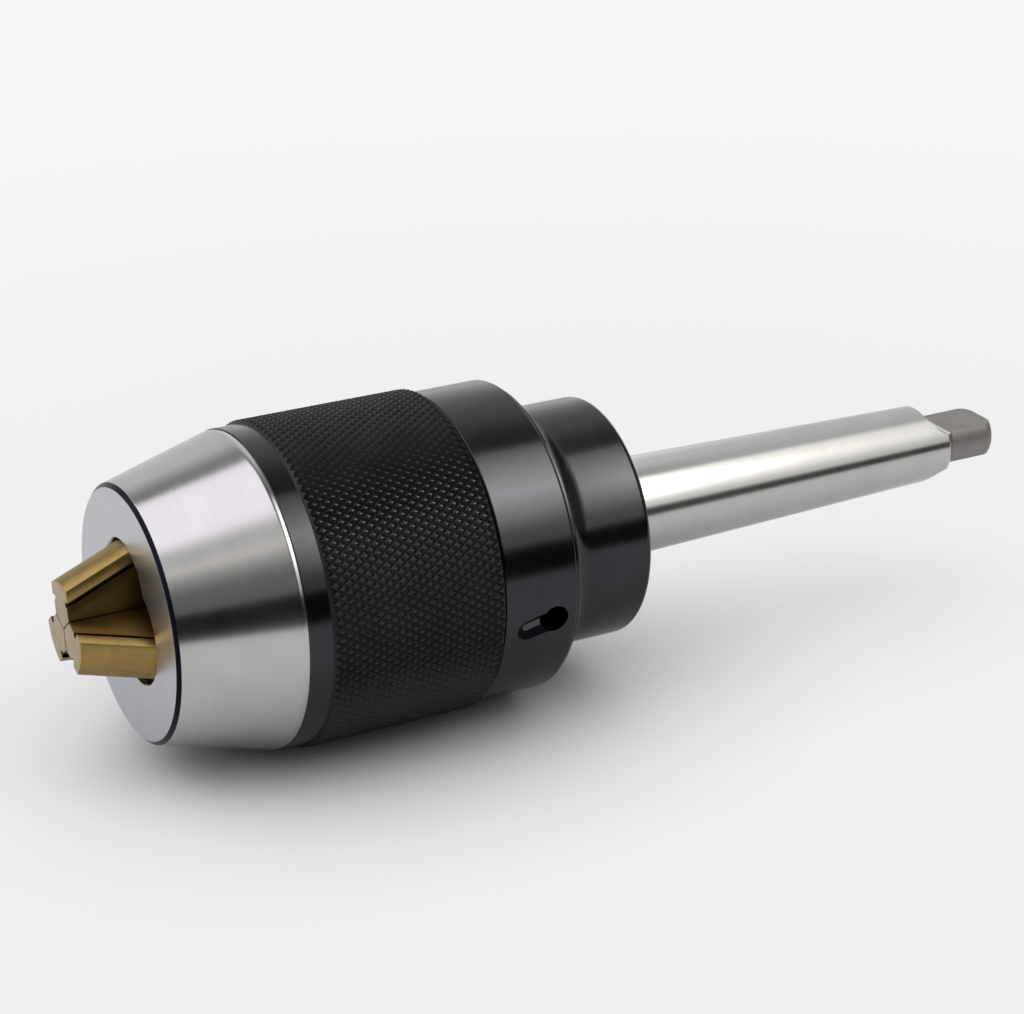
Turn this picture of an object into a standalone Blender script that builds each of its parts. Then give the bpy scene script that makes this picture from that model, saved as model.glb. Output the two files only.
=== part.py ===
# Keyless drill chuck on a Morse taper No. 2 shank, jaws closed.
#
# The chuck's axis is X, with the nose towards -X and the tang towards +X. The origin is on the
# axis in the gauge plane of the taper. Pieces are placed from the rear forward: the collar sits a
# set distance ahead of the gauge plane, and every other piece follows from its neighbour.
#
# How it works: the knurled sleeve carries the nose hood, and the hood carries three jaws in
# sloping slots. The jaws hang by T-shaped feet in the jaw guide, which a left-hand screw moves
# along the axis as the sleeve turns on its ball bearing round the arbor.

import math

import bmesh
import bpy
from mathutils import Matrix, Vector

MM = 0.001

# Morse taper No. 2 shank with a tang
GAUGE_DIAMETER = 17.78 * MM
TAPER_PER_LENGTH = 0.04995
GAUGE_TO_TANG_END = 75.0 * MM
TANG_LENGTH = 10.0 * MM
TANG_THICKNESS = 6.3 * MM
TANG_WIDTH = 13.5 * MM
TANG_RUNOUT_RADIUS = 6.0 * MM
TANG_END_ROUNDING = 1.6 * MM
SHANK_END_LEAD = 1.0 * MM

# Rear collar, which is pressed on the neck of the arbor
COLLAR_TO_GAUGE = 11.5 * MM
COLLAR_WALL = 6.4 * MM
COLLAR_LENGTH = 12.1 * MM
COLLAR_REAR_ROUNDING = 1.1 * MM

# Outside of the turning sleeve: the rear ring and the rear edge of the nose are flush, the band
# stands above them and the knurl above the band
COLLAR_TO_RING = 6.3 * MM
BODY_DIAMETER = 55.6 * MM
RING_LENGTH = 13.85 * MM
KNURL_LENGTH = 32.1 * MM
KNURL_RAISE = 0.65 * MM
BAND_LENGTH = 4.15 * MM
BAND_RAISE = 0.2 * MM
NOSE_LENGTH = 20.6 * MM
NOSE_FRONT_DIAMETER = 45.2 * MM
NOSE_RIM_LENGTH = 0.75 * MM
NOSE_RIM_DEPTH = 0.85 * MM
EDGE_BREAK = 0.3 * MM

# Walls of the sleeve and hood, and of the spigot by which the ring fits in the sleeve
SLEEVE_WALL = 2.35 * MM
HOOD_WALL = 2.2 * MM
RING_SPIGOT_WALL = 2.15 * MM

# Spanner recess in the rear ring
SPANNER_HOLE_DIAMETER = 5.0 * MM
SPANNER_HOLE_DEPTH = 3.4 * MM
SPANNER_HOLE_TO_RING_REAR = 3.5 * MM
SPANNER_HOLE_ANGLE = math.radians(97.4)
SPANNER_SLOT_WIDTH = 4.2 * MM
SPANNER_SLOT_REACH = 5.8 * MM
SPANNER_SLOT_DEPTH = 1.5 * MM
SPANNER_SLOT_SLANT = math.radians(13.0)

# Jaws, closed
CAPACITY = 16.0 * MM
JAW_COUNT = 3
JAW_FIRST_ANGLE = math.radians(-9.0)
JAW_SLOPE = math.radians(21.5)
JAW_PROJECTION = 11.2 * MM
JAW_TIP_DIAMETER = 16.4 * MM
JAW_HEAD_WIDTH = 7.5 * MM
JAW_WEDGE_WIDTH = 6.5 * MM
JAW_GROOVE_DEPTH = 0.6 * MM
JAW_GROOVE_HEIGHT = 0.9 * MM
JAW_GROOVE_TO_TOP = 3.0 * MM

# Feet of the jaws and their T-slots in the jaw guide
FOOT_WIDTH = 10.0 * MM
FOOT_THICKNESS = 3.0 * MM
FOOT_ROOT = 1.0 * MM
FOOT_NECK_INSET = 0.15 * MM
FOOT_BELOW_JAW_TOP = 0.8 * MM
FOOT_INNER_REACH = 6.5 * MM
GUIDE_LIP = 3.0 * MM
GUIDE_SPIGOT_FLOOR = 0.5 * MM

# Feed screw with its left-hand thread, and the core that it runs in
SCREW_SHOULDER = 2.5 * MM
SCREW_SPIGOT_LENGTH = 4.6 * MM
CORE_WALL = 2.9 * MM
CORE_FLANGE_LENGTH = 4.8 * MM
CORE_SPIGOT_LENGTH = 11.0 * MM
NECK_WALL = 2.5 * MM
ARBOR_BORE_FLOOR = 3.4 * MM

# Ball thrust bearing between the core and the rear ring
BALL_DIAMETER = 5.0 * MM
BALL_PITCH = 7.4 * MM
RACE_THICKNESS = 2.2 * MM
RACE_WIDTH = 6.6 * MM
RACE_GROOVE_DEPTH = 0.5 * MM
CAGE_THICKNESS = 2.0 * MM
RING_WEB = 4.3 * MM
SEAL_WIDTH = 1.8 * MM
SEAL_DEPTH = 1.5 * MM

# Clearances
SEAT = 0.3 * MM
RUNNING = 0.4 * MM
JAW_CLEARANCE = 0.3 * MM
RACE_TO_FLANGE_RIM = 0.5 * MM
RACE_TO_NECK = 0.7 * MM
CAGE_TO_RING = 0.5 * MM

# Roundness of turned pieces
BIG_SEGMENTS = 64
SMALL_SEGMENTS = 40
BALL_RINGS = 8
ARC_STEPS = 4
LONG_ARC_STEPS = 6
SLOT_END_STEPS = 8
POCKET_SEGMENTS = 12
HOLE_SEGMENTS = 20
SMOOTH_ANGLE = math.radians(30.0)


# Radii, from the outside inwards
body_radius = BODY_DIAMETER / 2
band_radius = body_radius + BAND_RAISE
knurl_radius = band_radius + KNURL_RAISE
sleeve_bore_radius = band_radius - SLEEVE_WALL
hood_body_radius = sleeve_bore_radius - SEAT
cavity_radius = hood_body_radius - HOOD_WALL
guide_radius = cavity_radius - RUNNING
ring_spigot_radius = sleeve_bore_radius - SEAT
ring_spigot_bore_radius = ring_spigot_radius - RING_SPIGOT_WALL
core_flange_radius = ring_spigot_bore_radius - RUNNING
race_outer_radius = core_flange_radius - RACE_TO_FLANGE_RIM
race_inner_radius = race_outer_radius - RACE_WIDTH
neck_radius = race_inner_radius - RACE_TO_NECK
core_spigot_radius = neck_radius - NECK_WALL - SEAT
screw_radius = core_spigot_radius - CORE_WALL - SEAT
screw_spigot_radius = screw_radius - SCREW_SHOULDER

# Radii of what goes round the neck, and the circle of the balls
collar_radius = neck_radius + SEAT + COLLAR_WALL
ring_bore_radius = neck_radius + RUNNING
ball_radius = BALL_DIAMETER / 2
ball_circle_radius = (race_inner_radius + race_outer_radius) / 2
ball_count = math.floor(2 * math.pi * ball_circle_radius / BALL_PITCH)

# Stations along the axis, from the rear forward
collar_rear = -COLLAR_TO_GAUGE
collar_front = collar_rear - COLLAR_LENGTH
ring_rear = collar_front - COLLAR_TO_RING
ring_front = ring_rear - RING_LENGTH
sleeve_rear = ring_front - SEAT
knurl_front = ring_front - KNURL_LENGTH
band_front = knurl_front - BAND_LENGTH
nose_rear = band_front - SEAT
nose_front = nose_rear - NOSE_LENGTH

# The bearing stack stands on the web of the rear ring
web_front = ring_rear - RING_WEB
outer_race_rear = web_front - SEAT
outer_race_front = outer_race_rear - RACE_THICKNESS
ball_station = outer_race_front + RACE_GROOVE_DEPTH - SEAT - ball_radius
inner_race_rear = ball_station - ball_radius - SEAT + RACE_GROOVE_DEPTH
inner_race_front = inner_race_rear - RACE_THICKNESS
core_flange_rear = inner_race_front - SEAT
core_front = core_flange_rear - CORE_FLANGE_LENGTH
neck_front = core_flange_rear + SEAT

# Jaw travel from closed to fully open
radial_travel = CAPACITY / 2
axial_travel = radial_travel / math.tan(JAW_SLOPE)

# The jaw guide closes in front of the core by its full travel
guide_floor = SCREW_SPIGOT_LENGTH + SEAT + GUIDE_SPIGOT_FLOOR
guide_thickness = GUIDE_LIP + FOOT_THICKNESS + 2 * SEAT + guide_floor
guide_rear = core_front - RUNNING - axial_travel
guide_front = guide_rear - guide_thickness
cavity_front = guide_front - 2 * SEAT
jaw_rear = guide_front - SEAT
jaw_tip = nose_front - JAW_PROJECTION
ring_spigot_front = core_front
hood_rear = ring_spigot_front - SEAT
arbor_bore_bottom = collar_rear - ARBOR_BORE_FLOOR
screw_rear = arbor_bore_bottom - RUNNING - axial_travel


def material(name, finish):
    """A plain Principled material for one sub-part, from its (colour, roughness, metallic)."""
    colour, roughness, metallic = finish
    made = bpy.data.materials.new(name)
    made.use_nodes = True
    shader = made.node_tree.nodes["Principled BSDF"]
    shader.inputs["Base Color"].default_value = (*colour, 1.0)
    shader.inputs["Roughness"].default_value = roughness
    shader.inputs["Metallic"].default_value = metallic
    made.diffuse_color = (*colour, 1.0)
    return made


# Finishes: colour, roughness, metallic
BLACK_OXIDE = ((0.035, 0.036, 0.040), 0.35, 0.6)
GROUND_STEEL = ((0.62, 0.61, 0.59), 0.25, 1.0)
BEARING_STEEL = ((0.70, 0.70, 0.72), 0.15, 1.0)
DARK_STEEL = ((0.20, 0.20, 0.21), 0.40, 1.0)
GOLD_COATING = ((0.52, 0.40, 0.16), 0.35, 1.0)
BRASS = ((0.60, 0.45, 0.20), 0.35, 1.0)
RUBBER = ((0.02, 0.02, 0.02), 0.80, 0.0)


def add_object(name, bm, finish, parent=None, turn=0.0):
    """Store a finished bmesh as one named object, turned about the chuck's axis."""
    mesh = bpy.data.meshes.new(name)
    bm.to_mesh(mesh)
    bm.free()
    mesh.materials.append(material(name, finish))
    mesh.shade_smooth()
    mesh.set_sharp_from_angle(angle=SMOOTH_ANGLE)
    made = bpy.data.objects.new(name, mesh)
    bpy.context.collection.objects.link(made)
    made.rotation_euler.x = turn
    made.parent = parent
    return made


def add_empty(name, parent=None, turn=0.0):
    """A joint's own axis, as an empty on the chuck's axis."""
    made = bpy.data.objects.new(name, None)
    bpy.context.collection.objects.link(made)
    made.rotation_euler.x = turn
    made.parent = parent
    return made


def add_cutter(name, bm, target, turn=0.0, parent=None):
    """Cut a shape out of a piece; the cutter is a guide and not a piece."""
    cutter = add_object(name, bm, DARK_STEEL, parent, turn)
    cutter.hide_render = True
    cutter.display_type = 'WIRE'
    cut = target.modifiers.new(name, 'BOOLEAN')
    cut.operation = 'DIFFERENCE'
    cut.solver = 'EXACT'
    cut.object = cutter
    return cutter


def turned(outline, segments, closed):
    """Turn an outline of (x, radius) points about the chuck's axis.

    A closed outline makes a ring; an open one starts and ends on the axis.
    """
    bm = bmesh.new()
    verts = [bm.verts.new((x, 0.0, radius)) for x, radius in outline]
    following = verts[1:] + (verts[:1] if closed else [])
    edges = [bm.edges.new(pair) for pair in zip(verts, following)]
    bmesh.ops.spin(
        bm, geom=verts + edges, cent=(0.0, 0.0, 0.0), axis=(1.0, 0.0, 0.0),
        angle=2 * math.pi, steps=segments, use_merge=True)
    bmesh.ops.remove_doubles(bm, verts=bm.verts, dist=0.001 * MM)
    bmesh.ops.recalc_face_normals(bm, faces=bm.faces)
    return bm


def arc(centre_x, centre_y, radius, start, end, steps=ARC_STEPS):
    """Points on a round stretch of an outline, both ends included, angles in degrees."""
    angles = [math.radians(start + (end - start) * i / steps) for i in range(steps + 1)]
    return [(centre_x + radius * math.cos(a), centre_y + radius * math.sin(a)) for a in angles]


def extruded(points, offset):
    """Extrude a flat loop of 3-D points by an offset into a closed prism."""
    bm = bmesh.new()
    face = bm.faces.new([bm.verts.new(point) for point in points])
    grown = bmesh.ops.extrude_face_region(bm, geom=[face])
    moved = [item for item in grown["geom"] if isinstance(item, bmesh.types.BMVert)]
    bmesh.ops.translate(bm, verts=moved, vec=offset)
    bmesh.ops.recalc_face_normals(bm, faces=bm.faces)
    return bm


def slice_off(bm, point, normal):
    """Cut away what lies on the normal's side of a plane, and close the cut."""
    geom = list(bm.verts) + list(bm.edges) + list(bm.faces)
    bmesh.ops.bisect_plane(
        bm, geom=geom, plane_co=point, plane_no=normal, dist=0.0001 * MM, clear_outer=True)
    loose = [edge for edge in bm.edges if edge.is_wire]
    bmesh.ops.delete(bm, geom=loose, context='EDGES')
    rim = [edge for edge in bm.edges if edge.is_boundary]
    bmesh.ops.contextual_create(bm, geom=rim)
    bmesh.ops.recalc_face_normals(bm, faces=bm.faces)


# Arbor: taper shank, tang and neck in one piece

def taper_radius(x):
    """Radius of the Morse taper at a station along the axis."""
    return GAUGE_DIAMETER / 2 - x * TAPER_PER_LENGTH / 2


def arbor_outline():
    """Half section of the arbor, from the tang's end round to the bottom of its bore."""
    tang_radius = TANG_WIDTH / 2
    tang_root = GAUGE_TO_TANG_END - TANG_LENGTH
    rounded_end = arc(
        GAUGE_TO_TANG_END - TANG_END_ROUNDING, tang_radius - TANG_END_ROUNDING,
        TANG_END_ROUNDING, 0.0, 90.0)
    return [
        (GAUGE_TO_TANG_END, 0.0),
        *rounded_end,
        (tang_root, tang_radius),
        (tang_root - SHANK_END_LEAD, taper_radius(tang_root - SHANK_END_LEAD)),
        (collar_rear, taper_radius(collar_rear)),
        (collar_rear, neck_radius - EDGE_BREAK),
        (collar_rear - EDGE_BREAK, neck_radius),
        (neck_front, neck_radius),
        (neck_front, core_spigot_radius + SEAT),
        (core_flange_rear + CORE_SPIGOT_LENGTH + SEAT, core_spigot_radius + SEAT),
        (core_flange_rear + CORE_SPIGOT_LENGTH + SEAT, screw_radius + SEAT),
        (arbor_bore_bottom, screw_radius + SEAT),
        (arbor_bore_bottom, 0.0),
    ]


def tang_flat_cutter():
    """The waste above one flat of the tang, with its round run-out."""
    flat = TANG_THICKNESS / 2
    tang_root = GAUGE_TO_TANG_END - TANG_LENGTH
    beyond = GAUGE_TO_TANG_END + TANG_LENGTH
    reach = TANG_WIDTH
    run_out = arc(
        tang_root, flat + TANG_RUNOUT_RADIUS, TANG_RUNOUT_RADIUS, 180.0, 270.0, LONG_ARC_STEPS)
    side = [*run_out, (beyond, flat), (beyond, flat + TANG_RUNOUT_RADIUS)]
    points = [(x, -reach, z) for x, z in side]
    return extruded(points, (0.0, 2 * reach, 0.0))


def build_arbor():
    arbor = add_object("arbor", turned(arbor_outline(), BIG_SEGMENTS, closed=False), GROUND_STEEL)
    add_cutter("tang_flat_upper", tang_flat_cutter(), arbor)
    add_cutter("tang_flat_lower", tang_flat_cutter(), arbor, turn=math.pi)


# Rear collar: a black ring pressed on the neck, against the taper

def build_rear_collar():
    bore = neck_radius + SEAT
    rounded_rear = arc(
        collar_rear - COLLAR_REAR_ROUNDING, collar_radius - COLLAR_REAR_ROUNDING,
        COLLAR_REAR_ROUNDING, 0.0, 90.0)
    outline = [
        (collar_rear, bore),
        *rounded_rear,
        (collar_front + EDGE_BREAK, collar_radius),
        (collar_front, collar_radius - EDGE_BREAK),
        (collar_front, bore),
    ]
    add_object("rear_collar", turned(outline, BIG_SEGMENTS, closed=True), BLACK_OXIDE)


# Core: the flanged nut that the feed screw runs in

def build_core():
    bore = screw_radius + SEAT
    spigot_rear = core_flange_rear + CORE_SPIGOT_LENGTH
    outline = [
        (core_front, bore),
        (core_front, core_flange_radius - EDGE_BREAK),
        (core_front + EDGE_BREAK, core_flange_radius),
        (core_flange_rear, core_flange_radius),
        (core_flange_rear, core_spigot_radius),
        (spigot_rear, core_spigot_radius),
        (spigot_rear, bore),
    ]
    add_object("thread_core", turned(outline, SMALL_SEGMENTS, closed=True), DARK_STEEL)


# Ball thrust bearing

def race_outline(flat_side, groove_side):
    """Section of a race washer with its ball groove, from its flat side to its grooved side."""
    toward_balls = 1.0 if groove_side > flat_side else -1.0
    inner, outer = race_inner_radius, race_outer_radius
    groove_radius = ball_radius + SEAT
    centre = groove_side + toward_balls * (groove_radius - RACE_GROOVE_DEPTH)
    half_angle = math.degrees(math.acos((groove_radius - RACE_GROOVE_DEPTH) / groove_radius))
    middle = 180.0 if toward_balls > 0 else 0.0
    groove = arc(centre, ball_circle_radius, groove_radius, middle - half_angle, middle + half_angle)
    if toward_balls > 0:
        groove.reverse()
    return [(flat_side, outer), (flat_side, inner), (groove_side, inner), *groove, (groove_side, outer)]


def build_races(sleeve_axis):
    inner = race_outline(inner_race_front, inner_race_rear)
    outer = race_outline(outer_race_rear, outer_race_front)
    add_object("inner_race", turned(inner, SMALL_SEGMENTS, closed=True), BEARING_STEEL)
    add_object("outer_race", turned(outer, SMALL_SEGMENTS, closed=True), BEARING_STEEL, sleeve_axis)


def build_ball_cage(cage_axis):
    pocket_radius = ball_radius + SEAT
    inner = neck_radius + SEAT
    outer = ring_spigot_bore_radius - CAGE_TO_RING
    low = ball_station - CAGE_THICKNESS / 2
    high = ball_station + CAGE_THICKNESS / 2
    outline = [(low, inner), (low, outer), (high, outer), (high, inner)]
    cage = add_object("ball_cage", turned(outline, SMALL_SEGMENTS, closed=True), BRASS, cage_axis)
    pockets = bmesh.new()
    for index in range(ball_count):
        place = (
            Matrix.Rotation(2 * math.pi * index / ball_count, 4, 'X')
            @ Matrix.Translation((ball_station, 0.0, ball_circle_radius))
            @ Matrix.Rotation(math.pi / 2, 4, 'Y'))
        bmesh.ops.create_cone(
            pockets, cap_ends=True, segments=POCKET_SEGMENTS, radius1=pocket_radius,
            radius2=pocket_radius, depth=2 * CAGE_THICKNESS, matrix=place)
    add_cutter("cage_pockets", pockets, cage, parent=cage_axis)


def build_balls(cage_axis):
    for index in range(ball_count):
        bm = bmesh.new()
        place = (
            Matrix.Rotation(2 * math.pi * index / ball_count, 4, 'X')
            @ Matrix.Translation((ball_station, 0.0, ball_circle_radius)))
        bmesh.ops.create_uvsphere(
            bm, u_segments=BALL_RINGS, v_segments=BALL_RINGS, radius=ball_radius, matrix=place)
        add_object("ball_%02d" % (index + 1), bm, BEARING_STEEL, cage_axis)


# Rear ring with its spanner recess, and the seal in its bore

def ring_outline():
    seal_groove = ring_bore_radius + SEAL_DEPTH + SEAT
    seal_middle = (web_front + ring_rear) / 2
    seal_half = SEAL_WIDTH / 2 + SEAT
    return [
        (ring_spigot_front, ring_spigot_bore_radius),
        (ring_spigot_front, ring_spigot_radius),
        (ring_front, ring_spigot_radius),
        (ring_front, body_radius - EDGE_BREAK),
        (ring_front + EDGE_BREAK, body_radius),
        (ring_rear - EDGE_BREAK, body_radius),
        (ring_rear, body_radius - EDGE_BREAK),
        (ring_rear, ring_bore_radius),
        (seal_middle + seal_half, ring_bore_radius),
        (seal_middle + seal_half, seal_groove),
        (seal_middle - seal_half, seal_groove),
        (seal_middle - seal_half, ring_bore_radius),
        (web_front, ring_bore_radius),
        (web_front, ring_spigot_bore_radius),
    ]


def spanner_hole_cutter():
    """The deep round hole that the spanner's pin enters."""
    bm = bmesh.new()
    x = ring_rear - SPANNER_HOLE_TO_RING_REAR
    place = Matrix.Translation((x, 0.0, body_radius))
    bmesh.ops.create_cone(
        bm, cap_ends=True, segments=HOLE_SEGMENTS, radius1=SPANNER_HOLE_DIAMETER / 2,
        radius2=SPANNER_HOLE_DIAMETER / 2, depth=2 * SPANNER_HOLE_DEPTH, matrix=place)
    return bm


def spanner_slot_cutter():
    """The shallower round-ended slot that leads from the hole towards the knurl."""
    radius = SPANNER_SLOT_WIDTH / 2
    x = ring_rear - SPANNER_HOLE_TO_RING_REAR
    length = SPANNER_SLOT_REACH
    far_end = arc(-length, 0.0, radius, 90.0, 270.0, SLOT_END_STEPS)
    near_end = arc(0.0, 0.0, radius, -90.0, 90.0, SLOT_END_STEPS)
    slant = Matrix.Rotation(SPANNER_SLOT_SLANT, 3, 'Z')
    floor = body_radius - SPANNER_SLOT_DEPTH
    points = [Vector((x, 0.0, floor)) + slant @ Vector((a, b, 0.0)) for a, b in far_end + near_end]
    return extruded(points, (0.0, 0.0, 2 * SPANNER_HOLE_DEPTH))


def build_rear_ring(sleeve_axis):
    ring = add_object(
        "rear_ring", turned(ring_outline(), BIG_SEGMENTS, closed=True), BLACK_OXIDE, sleeve_axis)
    add_cutter("spanner_hole", spanner_hole_cutter(), ring, SPANNER_HOLE_ANGLE, sleeve_axis)
    add_cutter("spanner_slot", spanner_slot_cutter(), ring, SPANNER_HOLE_ANGLE, sleeve_axis)


def build_dust_seal(sleeve_axis):
    middle = (web_front + ring_rear) / 2
    inner = neck_radius + SEAT
    outer = ring_bore_radius + SEAL_DEPTH
    low, high = middle - SEAL_WIDTH / 2, middle + SEAL_WIDTH / 2
    outline = [(low, inner), (low, outer), (high, outer), (high, inner)]
    add_object("dust_seal", turned(outline, SMALL_SEGMENTS, closed=True), RUBBER, sleeve_axis)


# Knurled sleeve

def build_knurled_sleeve(sleeve_axis):
    outline = [
        (band_front, sleeve_bore_radius),
        (band_front, band_radius - EDGE_BREAK),
        (band_front + EDGE_BREAK, band_radius),
        (knurl_front, band_radius),
        (knurl_front + KNURL_RAISE, knurl_radius),
        (sleeve_rear - KNURL_RAISE, knurl_radius),
        (sleeve_rear, band_radius),
        (sleeve_rear, sleeve_bore_radius),
    ]
    add_object(
        "knurled_sleeve", turned(outline, BIG_SEGMENTS, closed=True), BLACK_OXIDE, sleeve_axis)


# Nose hood with its three sloping slots

def jaw_top_radius(x):
    """Reach of a jaw's round outer face at a station, the same for every jaw position."""
    return JAW_TIP_DIAMETER / 2 + (x - jaw_tip) * math.tan(JAW_SLOPE)


def hood_outline():
    hole = jaw_top_radius(nose_front) + JAW_CLEARANCE
    rim_radius = NOSE_FRONT_DIAMETER / 2
    return [
        (nose_front, hole + EDGE_BREAK),
        (nose_front, rim_radius - NOSE_RIM_DEPTH),
        (nose_front + NOSE_RIM_LENGTH, rim_radius),
        (nose_rear - EDGE_BREAK, body_radius),
        (nose_rear, body_radius - EDGE_BREAK),
        (nose_rear, hood_body_radius),
        (hood_rear, hood_body_radius),
        (hood_rear, cavity_radius),
        (cavity_front, cavity_radius),
        (cavity_front, hole),
        (nose_front + EDGE_BREAK, hole),
    ]


def jaw_head_arc(half_width, radius):
    """Round top of a jaw's section between its side flats, as (across, up) points."""
    half_angle = math.degrees(math.asin(half_width / radius))
    return arc(0.0, 0.0, radius, 90.0 - half_angle, 90.0 + half_angle, LONG_ARC_STEPS)


def sloping_prism(section, start, end):
    """A jaw-shaped prism along the slope between two stations, from its section at the tip."""
    rise = math.tan(JAW_SLOPE)
    lift = (start - jaw_tip) * rise
    points = [(start, -across, up + lift) for across, up in section]
    return extruded(points, (end - start, 0.0, (end - start) * rise))


def hood_slot_cutter():
    """The slot that one jaw's head runs in, through the hood's wall."""
    half_width = JAW_HEAD_WIDTH / 2 + JAW_CLEARANCE
    top_radius = JAW_TIP_DIAMETER / 2 + JAW_CLEARANCE
    start = nose_front - JAW_CLEARANCE
    end = cavity_front + JAW_CLEARANCE
    floor = -jaw_top_radius(start)
    section = jaw_head_arc(half_width, top_radius) + [(-half_width, floor), (half_width, floor)]
    bm = sloping_prism(section, start - NOSE_LENGTH, end + NOSE_LENGTH)
    slice_off(bm, (start, 0.0, 0.0), (-1.0, 0.0, 0.0))
    slice_off(bm, (end, 0.0, 0.0), (1.0, 0.0, 0.0))
    slice_off(bm, (0.0, 0.0, 0.0), (0.0, 0.0, -1.0))
    return bm


def build_nose_hood(sleeve_axis, jaw_angles):
    hood = add_object(
        "nose_hood", turned(hood_outline(), BIG_SEGMENTS, closed=True), GROUND_STEEL, sleeve_axis)
    for index, angle in enumerate(jaw_angles):
        add_cutter("hood_slot_%d" % (index + 1), hood_slot_cutter(), hood, angle, sleeve_axis)


# Jaws

# The heel and foot stay inside the cavity and the guide when the jaws are fully open
foot_front = guide_front + GUIDE_LIP + SEAT
foot_rear = foot_front + FOOT_THICKNESS
foot_neck_half_width = JAW_WEDGE_WIDTH / 2 - JAW_GROOVE_DEPTH - FOOT_NECK_INSET
open_reach = cavity_radius - JAW_CLEARANCE
heel_top = math.sqrt(open_reach ** 2 - (JAW_HEAD_WIDTH / 2) ** 2) - radial_travel
open_foot_reach = math.sqrt((guide_radius - JAW_CLEARANCE) ** 2 - (FOOT_WIDTH / 2) ** 2)
foot_top = min(
    open_foot_reach - radial_travel, jaw_top_radius(jaw_rear - FOOT_ROOT) - FOOT_BELOW_JAW_TOP)


def jaw_section():
    """Outline of a jaw's head and wedge at the tip, as (across, up) points."""
    head = JAW_HEAD_WIDTH / 2
    wedge = JAW_WEDGE_WIDTH / 2
    groove = wedge - JAW_GROOVE_DEPTH
    top = JAW_TIP_DIAMETER / 2
    groove_top = top - JAW_GROOVE_TO_TOP
    groove_floor = groove_top - JAW_GROOVE_HEIGHT
    deep = -jaw_top_radius(jaw_rear)
    side = [(head, groove_top), (groove, groove_top), (groove, groove_floor), (wedge, groove_floor)]
    far_side = [(-across, up) for across, up in side]
    return jaw_head_arc(head, top) + far_side + [(-wedge, deep), (wedge, deep)] + list(reversed(side))


def jaw_body():
    """Sloping jaw cut to its tip, heel and wedge faces."""
    bm = sloping_prism(jaw_section(), jaw_tip - NOSE_LENGTH, jaw_rear + NOSE_LENGTH)
    slice_off(bm, (jaw_tip, 0.0, 0.0), (-1.0, 0.0, 0.0))
    slice_off(bm, (jaw_rear, 0.0, 0.0), (1.0, 0.0, 0.0))
    slice_off(bm, (0.0, 0.0, heel_top), (0.0, 0.0, 1.0))
    half_wedge = math.pi / JAW_COUNT
    for side in (1.0, -1.0):
        away = Vector((0.0, side * math.cos(half_wedge), -math.sin(half_wedge)))
        slice_off(bm, -away * JAW_CLEARANCE / 2, away)
    return bm


def jaw_foot():
    """T-shaped foot behind a jaw: a neck through the guide's lips and a wide foot behind them."""
    neck = foot_neck_half_width
    wide = FOOT_WIDTH / 2
    root = jaw_rear - FOOT_ROOT
    outline = [
        (root, neck), (foot_front, neck), (foot_front, wide), (foot_rear, wide),
        (foot_rear, -wide), (foot_front, -wide), (foot_front, -neck), (root, -neck)]
    points = [(x, y, FOOT_INNER_REACH) for x, y in outline]
    return extruded(points, (0.0, 0.0, foot_top - FOOT_INNER_REACH))


def build_jaws(sleeve_axis, jaw_angles):
    for index, angle in enumerate(jaw_angles):
        name = "jaw_%d" % (index + 1)
        slide = add_empty(name + "_slide", sleeve_axis)
        jaw = add_object(name, jaw_body(), GOLD_COATING, slide, angle)
        foot = add_object(name + "_foot_guide", jaw_foot(), GOLD_COATING, slide, angle)
        foot.hide_render = True
        foot.display_type = 'WIRE'
        union = jaw.modifiers.new("foot", 'BOOLEAN')
        union.operation = 'UNION'
        union.solver = 'EXACT'
        union.object = foot


# Jaw guide and feed screw

def t_slot_cutters():
    """Lip slot and foot slot of one T-slot, open at the guide's rim."""
    inner = FOOT_INNER_REACH - JAW_CLEARANCE
    outer = guide_radius + FOOT_WIDTH
    lip_half = foot_neck_half_width + JAW_CLEARANCE
    foot_half = FOOT_WIDTH / 2 + JAW_CLEARANCE
    lip_rear = guide_front + GUIDE_LIP
    slot_rear = guide_rear - guide_floor
    outline = [
        (guide_front - GUIDE_LIP, lip_half), (lip_rear, lip_half), (lip_rear, foot_half),
        (slot_rear, foot_half), (slot_rear, -foot_half), (lip_rear, -foot_half),
        (lip_rear, -lip_half), (guide_front - GUIDE_LIP, -lip_half)]
    points = [(x, y, inner) for x, y in outline]
    return extruded(points, (0.0, 0.0, outer - inner))


def build_jaw_guide(guide_axis, jaw_angles):
    spigot_bore = screw_spigot_radius + SEAT
    spigot_floor = guide_rear - SCREW_SPIGOT_LENGTH - SEAT
    outline = [
        (guide_front, 0.0),
        (guide_front, guide_radius - EDGE_BREAK),
        (guide_front + EDGE_BREAK, guide_radius),
        (guide_rear, guide_radius),
        (guide_rear, spigot_bore),
        (spigot_floor, spigot_bore),
        (spigot_floor, 0.0),
    ]
    guide = add_object(
        "jaw_guide", turned(outline, BIG_SEGMENTS, closed=False), DARK_STEEL, guide_axis)
    for index, angle in enumerate(jaw_angles):
        add_cutter("t_slot_%d" % (index + 1), t_slot_cutters(), guide, angle, guide_axis)


def build_feed_screw(guide_axis):
    outline = [
        (guide_rear - SCREW_SPIGOT_LENGTH, 0.0),
        (guide_rear - SCREW_SPIGOT_LENGTH, screw_spigot_radius),
        (guide_rear + SEAT, screw_spigot_radius),
        (guide_rear + SEAT, screw_radius),
        (screw_rear - EDGE_BREAK, screw_radius),
        (screw_rear, screw_radius - EDGE_BREAK),
        (screw_rear, 0.0),
    ]
    add_object("feed_screw", turned(outline, SMALL_SEGMENTS, closed=False), BEARING_STEEL, guide_axis)


def clear_scene():
    for old in list(bpy.data.objects):
        bpy.data.objects.remove(old)


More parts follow.
